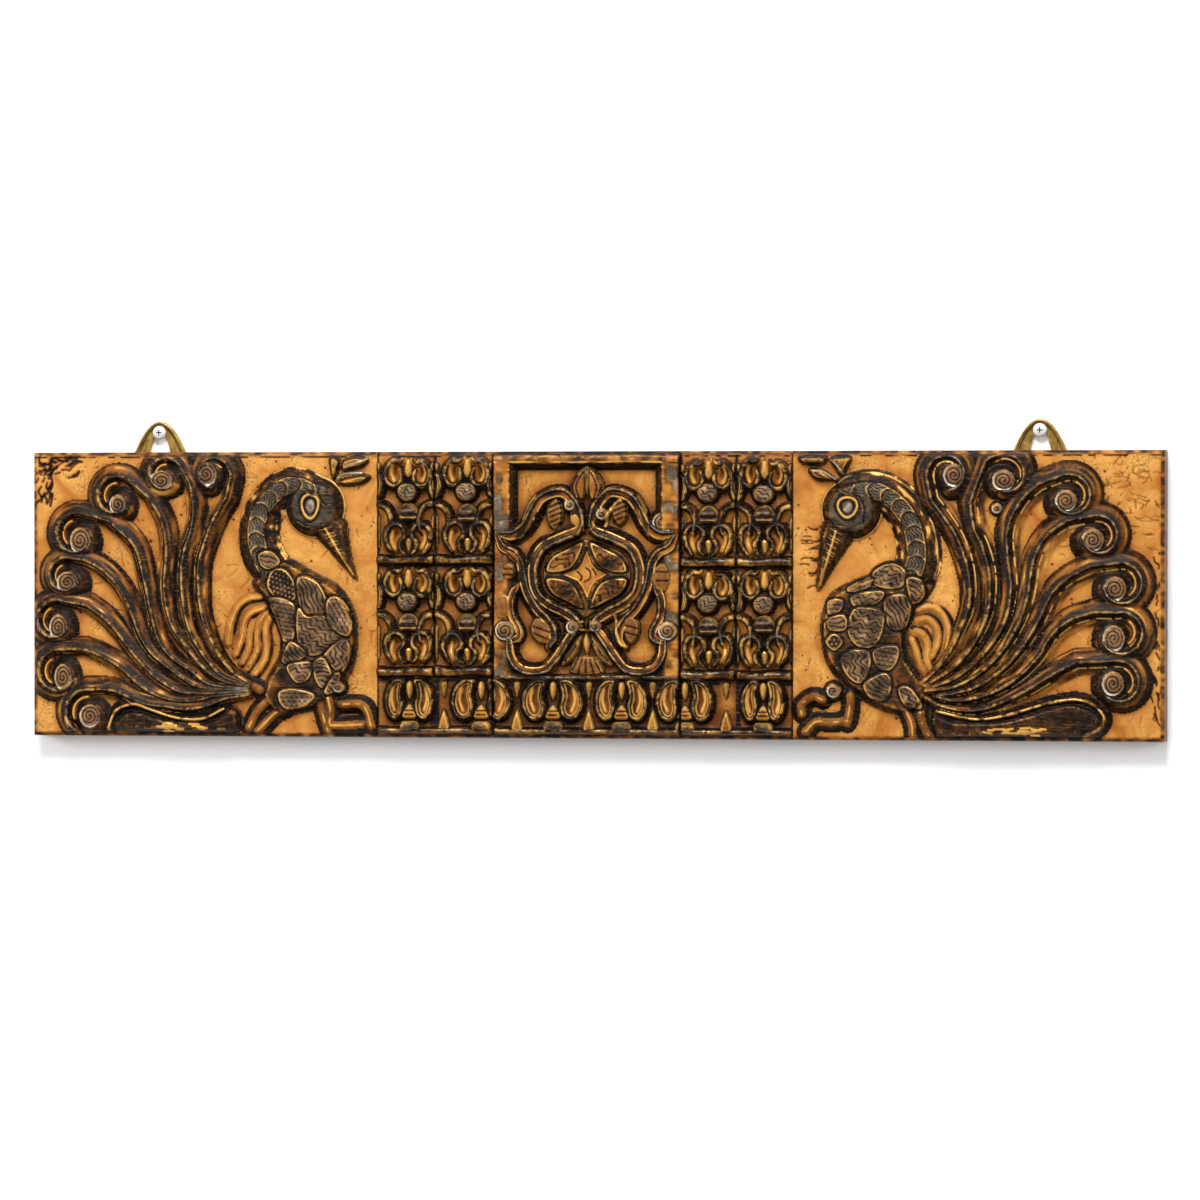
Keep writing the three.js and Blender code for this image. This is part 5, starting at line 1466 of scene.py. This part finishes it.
# %% [markdown]
# ## The carved wood's finish
# The wood was stained dark all over and rubbed back, so its colour follows how hard a cloth could
# reach: the flat ground is golden and blotchy, walls are brown, and deep hollows stay black. The
# tone layer gives the carver's pattern of stain, and noise breaks it up so that no edge is clean.
# The hollow layer darkens recesses further, which is stain and painted shade, and the crest layer
# lightens edges and rubs gold onto them, which is wear and painted highlight.
# Silver and gold wax lie on the ridges, thin enough to show dark gaps.

# %% Wood
def carved_wood():
    f = Finish("carved_wood")
    place = f.place()
    blotch = f.noise(place, 30.0, 5.0, 0.62, 1.2)
    cloud = f.noise(place, 110.0, 6.0, 0.68, 0.8)
    grain = f.noise(f.stretch(place, (9.0, 60.0, 130.0)), 6.0, 6.0, 0.65, 0.9)
    speck = f.noise(place, 620.0, 3.0, 0.6)
    tone, hollow, crest = f.attribute("tone"), f.attribute("hollow"), f.attribute("crest")
    uneven = (cloud - 0.5) * 1.1 + (speck - 0.5) * 0.4
    # painted shade and highlight: the hollow layer darkens recesses past their stain, and the crest layer
    # lightens edges past their wear
    bare = (tone + uneven * (1.1 - tone) - hollow * 0.55 + crest * 0.2).high(0.0).low(1.0)
    wood = f.node("ValToRGB", {"stops": [
        (0.0, (0.0025, 0.0014, 0.0006)), (0.15, (0.009, 0.0043, 0.001)), (0.33, (0.055, 0.02, 0.0032)),
        (0.54, (0.18, 0.068, 0.009)), (0.78, (0.36, 0.155, 0.025)), (1.0, (0.49, 0.24, 0.053)),
    ]}, bare)
    broad = f.noise(place, 11.0, 3.0, 0.5, 0.6)
    mottled = f.blend((blotch * 0.7 + broad * 0.3 - 0.36) * 3.6, (0.62, 0.4, 0.22), (1.2, 1.24, 1.28))
    golden = f.blend(1.0, wood, mottled, "MULTIPLY")
    golden = f.blend(grain.ramp(0.54, 0.7) * 0.4, golden, (0.3, 0.12, 0.03))
    bent = f.blend(0.12, place, f.noise(place, 60.0))
    cracks = f.node("TexVoronoi", {"feature": "DISTANCE_TO_EDGE"}, Vector=bent, Scale=60.0)
    crack = (1 - cracks.ramp(0.0, 0.035)) * blotch.ramp(0.44, 0.56) * tone.ramp(0.7, 0.9)
    golden = f.blend(crack * 0.85, golden, (0.07, 0.026, 0.007))
    dirt = blotch.ramp(0.57, 0.66) * speck.ramp(0.45, 0.62) * tone.ramp(0.6, 0.9)
    golden = f.blend(dirt * 0.65, golden, (0.05, 0.024, 0.009))
    gold = (f.attribute("gold") * (0.4 + 1.2 * cloud)).ramp(0.2, 0.75)
    # gold rubbed onto crests: wear on the edges, and a painted highlight along them as well
    rubbed = crest.ramp(0.25, 0.8) * cloud.ramp(0.46, 0.62) * (1 - tone)
    gold = gold.high(rubbed * 0.7)
    silver = (f.attribute("silver") * (0.3 + 1.4 * cloud)).ramp(0.2, 0.95)
    pewter = f.blend(silver.ramp(0.45, 0.95), (0.17, 0.14, 0.095), (0.42, 0.39, 0.32))
    coloured = f.blend(silver * 0.9, golden, pewter)
    coloured = f.blend(gold * 0.9, coloured, (0.62, 0.33, 0.07))
    waxed = silver.high(gold)
    rough = 0.5 + (cloud - 0.5) * 0.3 - waxed * 0.16
    relief = f.bump(cloud * 0.5 + grain * 0.5, 0.5, 0.0008)
    relief = f.bump(speck, 0.3, 0.0003, under=relief)
    return f.finish(Base_Color=coloured, Metallic=waxed * 0.4, Roughness=rough, Specular_IOR_Level=0.12,
                    Normal=relief)


def plain_wood():
    """The sides and the back: brown wood with dark patches and a long grain."""
    f = Finish("plain_wood")
    place = f.place()
    grain = f.noise(f.stretch(place, (7.0, 70.0, 90.0)), 5.0, 8.0, 0.7, 1.2)
    patch = f.noise(place, 24.0, 5.0, 0.6, 0.6)
    fine_grain = f.noise(f.stretch(place, (30.0, 500.0, 500.0)), 3.0, 4.0, 0.6)
    wood = f.blend(grain, (0.09, 0.034, 0.008), (0.27, 0.112, 0.028))
    wood = f.blend(patch.ramp(0.44, 0.64) * 0.85, wood, (0.018, 0.008, 0.003))
    wood = f.blend(fine_grain.ramp(0.5, 0.7) * 0.3, wood, (0.1, 0.042, 0.012))
    relief = f.bump(grain * 0.6 + fine_grain * 0.4, 0.35, 0.0005)
    return f.finish(Base_Color=wood, Roughness=0.6 + (grain - 0.5) * 0.2, Specular_IOR_Level=0.3,
                    Normal=relief)


wood_finish, plain_finish = carved_wood(), plain_wood()
for piece in (left_piece, right_piece, *block_pieces):
    piece.data.materials.append(wood_finish)
    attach(piece, "root")
    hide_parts("panel")
back_piece.data.materials.append(plain_finish)
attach(back_piece, "root")
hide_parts("panel")
print("wood finish uses", len(wood_finish.node_tree.nodes), "nodes")


# %% [markdown]
# ## The hangers
# Each hanger is a cast plate: an arch with a hole for the wall screw above the plank, and a flat
# tang screwed into the recess behind it. Its outline is drawn once and given its thickness.

# %% Hanger plates
def box_of(node):
    low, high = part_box(node)
    return low, high, (low + high) / 2


plate_thickness = 0.004
opening_width = 0.0172
opening_top = 0.0186
tang_hole_drop = 0.017
tang_hole_radius = 0.0036
tang_hole_spread = 0.012


def arch(width, rise, foot, count=28):
    """A pointed arch on straight feet: a parabola, as places across and up."""
    across = np.sin(np.linspace(np.pi / 2, -np.pi / 2, count)) * width / 2
    top = np.stack([across, rise * (1 - (2 * across / width) ** 2)], 1)
    return np.vstack([[(-width / 2, -foot), (width / 2, -foot)], top])


def ring_of(centre, radius):
    angle = np.linspace(0, 2 * np.pi, 20, endpoint=False)
    return np.stack([centre[0] + radius * np.cos(angle), centre[1] + radius * np.sin(angle)], 1)


def pushed_plate(name, outline, holes, near, far):
    """A flat outline with holes, filled and pushed from one depth to another."""
    shape = bmesh.new()
    for loop in (outline, *holes):
        corners = [shape.verts.new((x, near, z)) for x, z in loop]
        for a, b in zip(corners, corners[1:] + corners[:1]):
            shape.edges.new((a, b))
    bmesh.ops.triangle_fill(shape, edges=shape.edges, use_beauty=True)
    made = bmesh.ops.extrude_face_region(shape, geom=shape.faces[:])
    pushed = [part for part in made["geom"] if isinstance(part, bmesh.types.BMVert)]
    bmesh.ops.translate(shape, verts=pushed, vec=(0, far - near, 0))
    bmesh.ops.recalc_face_normals(shape, faces=shape.faces)
    return finished(name, shape)


def settle(piece, name):
    """The piece with its modifiers worked into a plain mesh, at the origin."""
    bpy.context.view_layer.update()
    shown = piece.evaluated_get(bpy.context.evaluated_depsgraph_get())
    mesh = bpy.data.meshes.new_from_object(shown)
    bpy.data.objects.remove(piece)
    return linked(name, mesh)


hanger_plates = {}
for side in ("left", "right"):
    low, high, centre = box_of(f"hanger_{side}")
    top_edge = panel_high.z
    rise, foot, width = high.z - top_edge, top_edge - low.z, high.x - low.x
    place = np.array([centre.x, top_edge])
    holes = [arch(opening_width, opening_top, 0)[2:] + place]
    for off in (-tang_hole_spread, tang_hole_spread):
        holes.append(ring_of((centre.x + off, top_edge - tang_hole_drop), tang_hole_radius))
    outline = arch(width, rise, foot) + place
    plate_piece = pushed_plate(f"hanger_plate_{side}", outline, holes, 0.0, -plate_thickness)
    bevel = plate_piece.modifiers.new("soft edge", "BEVEL")
    bevel.width, bevel.segments = 0.0004, 2
    bevel.limit_method, bevel.angle_limit = "ANGLE", math.radians(40)
    hanger_plates[side] = settle(plate_piece, f"hanger_plate_{side}")
    print(f"hanger_{side}: {width * 1000:.1f} mm wide, {rise * 1000:.1f} mm above the edge")

# %% [markdown]
# The arch carries a raised rim, and inside it runs a near-black bead, almost flush with the plate,
# that stands for a groove: its black is dirt, and painted shade for the groove that is not cut.
# Both follow a path, which is what Geometry Nodes do best: a path, a round section, and a width and
# a height that can be changed from outside.

# %% A bead along a path
def new_tree(name, **inputs):
    """A tree that takes a geometry and further inputs, and gives a geometry back."""
    tree = bpy.data.node_groups.new(name, "GeometryNodeTree")
    for label, kind in {"Geometry": "Geometry", **inputs}.items():
        tree.interface.new_socket(label.replace("_", " "), in_out="INPUT", socket_type="NodeSocket" + kind)
    tree.interface.new_socket("Geometry", in_out="OUTPUT", socket_type="NodeSocketGeometry")
    return tree


def bead_tree():
    tree = new_tree("bead along a path", Bead_width="Float", Bead_height="Float", Material="Material")
    make = tree.nodes.new
    start, end = make("NodeGroupInput"), make("NodeGroupOutput")
    section, shape = make("GeometryNodeCurvePrimitiveCircle"), make("GeometryNodeTransform")
    section.inputs["Resolution"].default_value = 12
    section.inputs["Radius"].default_value = 0.5
    sizes = make("ShaderNodeCombineXYZ")
    sizes.inputs["Z"].default_value = 1.0
    sweep, smooth_shade = make("GeometryNodeCurveToMesh"), make("GeometryNodeSetShadeSmooth")
    sweep.inputs["Fill Caps"].default_value = True
    realize, paint = make("GeometryNodeRealizeInstances"), make("GeometryNodeSetMaterial")
    for a, b in (
        (start.outputs["Bead width"], sizes.inputs["X"]), (start.outputs["Bead height"], sizes.inputs["Y"]),
        (section.outputs["Curve"], shape.inputs["Geometry"]), (sizes.outputs[0], shape.inputs["Scale"]),
        (start.outputs["Geometry"], sweep.inputs["Curve"]),
        (shape.outputs["Geometry"], sweep.inputs["Profile Curve"]),
        (sweep.outputs["Mesh"], smooth_shade.inputs["Geometry"]),
        (smooth_shade.outputs[0], realize.inputs["Geometry"]),
        (realize.outputs["Geometry"], paint.inputs["Geometry"]),
        (start.outputs["Material"], paint.inputs["Material"]),
        (paint.outputs["Geometry"], end.inputs["Geometry"]),
    ):
        tree.links.new(a, b)
    return tree


def give(piece, tree, **values):
    """Adds the tree to a piece and sets its inputs by their identifiers."""
    modifier = piece.modifiers.new(tree.name, "NODES")
    modifier.node_group = tree
    names = {item.name: item.identifier for item in tree.interface.items_tree if item.in_out == "INPUT"}
    for key, value in values.items():
        modifier[names[key.replace("_", " ").capitalize()]] = value
    return piece


def path_curve(name, places, depth):
    """A curve through places across and up, all at one depth."""
    curve = bpy.data.curves.new(name, "CURVE")
    curve.dimensions = "3D"
    line = curve.splines.new("POLY")
    line.points.add(len(places) - 1)
    for point, (x, z) in zip(line.points, places):
        point.co = (x, depth, z, 1)
    return linked(name, curve)


bead = bead_tree()
print("the bead tree has", len(bead.nodes), "nodes")


# %% [markdown]
# ## Brass and screw finishes
# The brass is old and has dull brown clouds. Its groove and the screws' slots are near-black:
# dirt, and painted shade where they would lie in shadow. The wall screws are painted white, and
# the tang screws are zinc.

# %% Brass, dirt and shade fill, white paint and zinc
def aged_brass():
    f = Finish("aged_brass")
    place = f.place()
    cloud, speck = f.noise(place, 180.0, 5.0, 0.6, 0.6), f.noise(place, 900.0, 3.0, 0.6)
    brushed = f.noise(f.stretch(place, (600.0, 60.0, 90.0)), 3.0, 3.0, 0.6)
    metal = f.blend((cloud * 0.7 + brushed * 0.5 - 0.1).ramp(0.2, 0.75), (0.12, 0.064, 0.013),
                    (0.5, 0.305, 0.075))
    metal = f.blend(cloud.ramp(0.56, 0.72) * 0.6, metal, (0.045, 0.026, 0.009))
    rough = 0.36 + (cloud - 0.4) * 0.35
    return f.finish(Base_Color=metal, Metallic=0.85, Roughness=rough,
                    Normal=f.bump(cloud * 0.5 + brushed * 0.5, 0.25, 0.0003))


def groove_dirt():
    """Near-black old polish and dirt, which also paints the shade in the hangers' grooves and the screws'
    slots.
    """
    f = Finish("groove_dirt")
    cloud = f.noise(f.place(), 700.0, 4.0, 0.6)
    dirt = f.blend(cloud.ramp(0.4, 0.7), (0.004, 0.003, 0.002), (0.02, 0.013, 0.006))
    return f.finish(Base_Color=dirt, Roughness=0.7 + (cloud - 0.5) * 0.2, Specular_IOR_Level=0.08,
                    Normal=f.bump(cloud, 0.2, 0.0002))


def white_paint():
    f = Finish("white_screw")
    cloud = f.noise(f.place(), 420.0, 4.0, 0.6)
    paint = f.blend(cloud.ramp(0.5, 0.8), (0.52, 0.515, 0.5), (0.43, 0.425, 0.4))
    return f.finish(Base_Color=paint, Roughness=0.32 + (cloud - 0.5) * 0.2,
                    Normal=f.bump(cloud, 0.12, 0.0002))


def zinc():
    f = Finish("zinc_screw")
    cloud = f.noise(f.place(), 600.0, 4.0, 0.6)
    metal = f.blend(cloud, (0.42, 0.43, 0.44), (0.66, 0.66, 0.64))
    return f.finish(Base_Color=metal, Metallic=0.95, Roughness=0.34 + (cloud - 0.5) * 0.3,
                    Normal=f.bump(cloud, 0.15, 0.0002))


brass_finish, dirt_and_shade_finish, white_finish, zinc_finish = aged_brass(), groove_dirt(), white_paint(), zinc()


def own(piece, finish, slot, *nodes):
    """Gives a piece its finish, and the solids that it stands for."""
    piece.data.materials.clear()
    piece.data.materials.append(finish)
    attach(piece, "root")
    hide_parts(*nodes)


# How far each bead's arch is narrower and lower than the plate's, its own width and height, and
# its finish.
beads = (
    ("rim", 0.0026, 0.0013, 0.0026, 0.0024, brass_finish),
    # the groove bead's near-black is dirt, and painted shade for the groove that is not cut
    ("groove", 0.0078, 0.0033, 0.0029, 0.0006, dirt_and_shade_finish),
)
for side, plate_piece in hanger_plates.items():
    low, high, centre = box_of(f"hanger_{side}")
    place = np.array([centre.x, panel_high.z])
    own(plate_piece, brass_finish, "aged_brass", f"hanger_{side}")
    rise, width = high.z - panel_high.z, high.x - low.x
    for name, inset, drop, bead_width, bead_height, finish in beads:
        places = arch(width - inset, rise - drop, 0, count=48)[2:] + place
        piece = path_curve(f"hanger_{name}_{side}", places, -plate_thickness + 0.0002)
        give(piece, bead, bead_width=bead_width, bead_height=bead_height, material=finish)
        piece = settle(piece, f"hanger_{name}_{side}")
        own(piece, finish, "aged_brass", f"hanger_{side}")
hanger_names = [o.name for o in bpy.data.objects if o.name.startswith("hanger_")]
print("hanger pieces:", [name for name in hanger_names if name not in frame["nodes"]])

# %% [markdown]
# ## Screws
# All the screws are spun from a short profile and given a cross slot. One Geometry Nodes tree
# sets such a form on a row of points, so two white screws and four small ones come from the same
# tree. The slot is cut into the form with a tapered cross, and a dark sheet at the bottom of the
# white screws' slots is their painted shade, which is what makes them show from the front.

# %% The screw tree
def screw_tree():
    tree = new_tree("turned screws", Turned_form="Object", Material="Material")
    make = tree.nodes.new
    start, end = make("NodeGroupInput"), make("NodeGroupOutput")
    form_info, points = make("GeometryNodeObjectInfo"), make("GeometryNodeMeshToPoints")
    scatter, realize = make("GeometryNodeInstanceOnPoints"), make("GeometryNodeRealizeInstances")
    paint = make("GeometryNodeSetMaterial")
    for a, b in (
        (start.outputs["Geometry"], points.inputs["Mesh"]),
        (start.outputs["Turned form"], form_info.inputs["Object"]),
        (points.outputs["Points"], scatter.inputs["Points"]),
        (form_info.outputs["Geometry"], scatter.inputs["Instance"]),
        (scatter.outputs["Instances"], realize.inputs["Geometry"]),
        (realize.outputs["Geometry"], paint.inputs["Geometry"]),
        (start.outputs["Material"], paint.inputs["Material"]),
        (paint.outputs["Geometry"], end.inputs["Geometry"]),
    ):
        tree.links.new(a, b)
    return tree


slot_taper = 0.72


def turned_form(name, profile, slot, segments=40):
    """A screw that faces -Y with its head's front at y = 0.

    The profile's places are (radius, depth), and the slot is its length, width and depth.
    """
    shape = bmesh.new()
    rings = []
    for radius, depth in profile:
        if radius == 0:
            rings.append([shape.verts.new((0, depth, 0))])
        else:
            angle = np.linspace(0, 2 * np.pi, segments, endpoint=False)
            rings.append([shape.verts.new((radius * math.cos(a), depth, radius * math.sin(a)))
                          for a in angle])
    for near, far in zip(rings[:-1], rings[1:]):
        for k in range(segments):
            corners = [near[k % len(near)], near[(k + 1) % len(near)], far[(k + 1) % len(far)],
                       far[k % len(far)]]
            shape.faces.new(list(dict.fromkeys(corners)))
    bmesh.ops.recalc_face_normals(shape, faces=shape.faces)
    screw = finished(name, shape)
    length, width, deep = slot
    cutter = bmesh.new()
    for x, z in ((length, width), (width, length)):
        made = bmesh.ops.create_cube(cutter, size=1)
        bmesh.ops.scale(cutter, vec=(x, deep * 2, z), verts=made["verts"])
        for vert in made["verts"]:
            if vert.co.y > 0:
                vert.co.x *= slot_taper
                vert.co.z *= slot_taper
    cross = finished("cross", cutter)
    carve = screw.modifiers.new("slot", "BOOLEAN")
    carve.operation, carve.object, carve.solver, carve.use_self = "DIFFERENCE", cross, "EXACT", True
    done = settle(screw, name)
    bpy.data.objects.remove(cross)
    done.data.shade_smooth()
    done.data.set_sharp_from_angle(angle=math.radians(35))
    return done


screws = screw_tree()
low, high, _ = box_of("wall_screw_left")
head_radius, length = (high.x - low.x) / 2, high.y - low.y
shank = 0.0022
dome = [(0, 0), (0.4, 0.00022), (0.72, 0.0007), (0.93, 0.0016), (1, 0.0024), (0.98, 0.0028)]
white_form = turned_form("white_form", [
    *((share * head_radius, depth) for share, depth in dome),
    (shank, 0.0028), (shank, length - 0.005), (0, length)], (0.0056, 0.0011, 0.0015))
places = [box_of(f"wall_screw_{side}") for side in ("left", "right")]


def set_screws(name, form_object, spots, finish, slot, nodes):
    """A form set on each of the spots, as one piece; the form itself is taken away again."""
    mesh = bpy.data.meshes.new(name)
    mesh.from_pydata(spots, [], [])
    piece = linked(name, mesh)
    give(piece, screws, turned_form=form_object, material=finish)
    piece = settle(piece, name)
    own(piece, finish, slot, *nodes)
    bpy.data.objects.remove(form_object)
    return piece


spots = [(middle.x, near.y, middle.z) for near, far, middle in places]
white_screws = set_screws("white_screws", white_form, spots, white_finish, "white_screw",
                          ["wall_screw_left", "wall_screw_right"])
arm, thin = 0.00235, 0.00046
quarter = np.array([(thin, -arm), (thin, -thin), (arm, -thin)])
cross_outline = np.vstack([quarter, quarter[::-1] * (1, -1), quarter * -1, quarter[::-1] * (-1, 1)])
for side, (x, y, z) in zip(("left", "right"), spots):
    # painted shade: a near-black cross sheet at the bottom of each white screw's slot
    slot_shade_sheet = pushed_plate(f"slot_dirt_{side}", cross_outline + (x, z), [], y + 0.0006, y + 0.0018)
    own(slot_shade_sheet, dirt_and_shade_finish, "white_screw", f"wall_screw_{side}")

# %% The tang screws
small_nodes = [f"tang_screw_{side}_{k}" for side in ("left", "right") for k in (1, 2)]
small = [box_of(node) for node in small_nodes]
low, high, _ = small[0]
head_radius, length, shank = (high.x - low.x) / 2, high.y - low.y, 0.0015
small_form = turned_form("small_form", [
    (0, 0), (head_radius * 0.94, 0), (head_radius, 0.0002), (shank, 0.0018), (shank, length - 0.003),
    (0, length)], (0.0042, 0.0008, 0.001))
for vertex in small_form.data.vertices:
    vertex.co = (-vertex.co.x, -vertex.co.y, vertex.co.z)
spots = [(middle.x, far.y, middle.z) for near, far, middle in small]
small_screws = set_screws("small_screws", small_form, spots, zinc_finish, "zinc_screw", small_nodes)
print("screws:", len(white_screws.data.polygons), "and", len(small_screws.data.polygons), "faces")

# %% [markdown]
# ## The wall, the light and the camera
# The panel hangs on a plain white wall. A large soft light above gives the carving its shadows,
# weaker ones stand at the left and the right, and a pale world fills what is left. The camera is
# almost level with the panel, ten degrees to its right and nearly five metres away, with a long lens.

# %% Wall and lights
def white_wall():
    """White paint that is clear from behind, so that the panel's back can be looked at."""
    material = bpy.data.materials.new("white_wall")
    material.use_nodes = True
    tree = material.node_tree
    shader = tree.nodes["Principled BSDF"]
    shader.inputs["Base Color"].default_value = (0.93, 0.93, 0.93, 1)
    shader.inputs["Roughness"].default_value = 0.9
    shader.inputs["Emission Color"].default_value = (1, 1, 1, 1)
    shader.inputs["Emission Strength"].default_value = 0.06
    clear, mix, faces = (tree.nodes.new("ShaderNode" + kind) for kind in
                         ("BsdfTransparent", "MixShader", "NewGeometry"))
    tree.links.new(faces.outputs["Backfacing"], mix.inputs[0])
    tree.links.new(shader.outputs[0], mix.inputs[1])
    tree.links.new(clear.outputs[0], mix.inputs[2])
    tree.links.new(mix.outputs[0], tree.nodes["Material Output"].inputs["Surface"])
    return material


wall_mesh = bpy.data.meshes.new("wall")
reach, gap = 6.0, 0.0006
corners = [(-reach, gap, -reach), (reach, gap, -reach), (reach, gap, reach), (-reach, gap, reach)]
wall_mesh.from_pydata(corners, [], [(0, 1, 2, 3)])
wall = linked("wall", wall_mesh)
wall.data.materials.append(white_wall())
wall.visible_shadow = False


def soft_light(name, place, size, power):
    """A round light that faces the origin."""
    light = bpy.data.lights.new(name, "AREA")
    light.shape, light.size, light.energy = "DISK", size, power
    lamp = linked(name, light)
    lamp.location = place
    lamp.rotation_euler = (-Vector(place)).to_track_quat("-Z", "Y").to_euler()


soft_light("above", (0.1, -2.1, 2.0), 1.3, 122)
soft_light("left", (-2.4, -1.9, 0.5), 1.2, 42)
soft_light("right", (2.4, -1.9, 0.4), 1.2, 20)
world = bpy.data.worlds.new("pale room")
world.use_nodes = True
world.node_tree.nodes["Background"].inputs["Color"].default_value = (1, 1, 1, 1)
world.node_tree.nodes["Background"].inputs["Strength"].default_value = 0.4
bpy.context.scene.world = world
bpy.context.scene.view_settings.view_transform = "Standard"
print("lights:", [light.name for light in bpy.data.lights])

# %% Camera
azimuth, elevation, field_of_view = (math.radians(angle) for angle in (10.44, 0.62, 11.33))
distance = 4.83
aim = Vector((0.0040, 0.0, -0.0043))
flat = math.cos(elevation)
away = Vector((math.sin(azimuth) * flat, -math.cos(azimuth) * flat, math.sin(elevation)))
camera = linked("camera", bpy.data.cameras.new("camera"))
camera.location = aim + away * distance
camera.rotation_euler = away.to_track_quat("Z", "Y").to_euler()
camera.data.sensor_width = 36
camera.data.lens = 18 / math.tan(field_of_view / 2)
bpy.context.scene.camera = camera
print(f"the lens is {camera.data.lens:.0f} mm long")
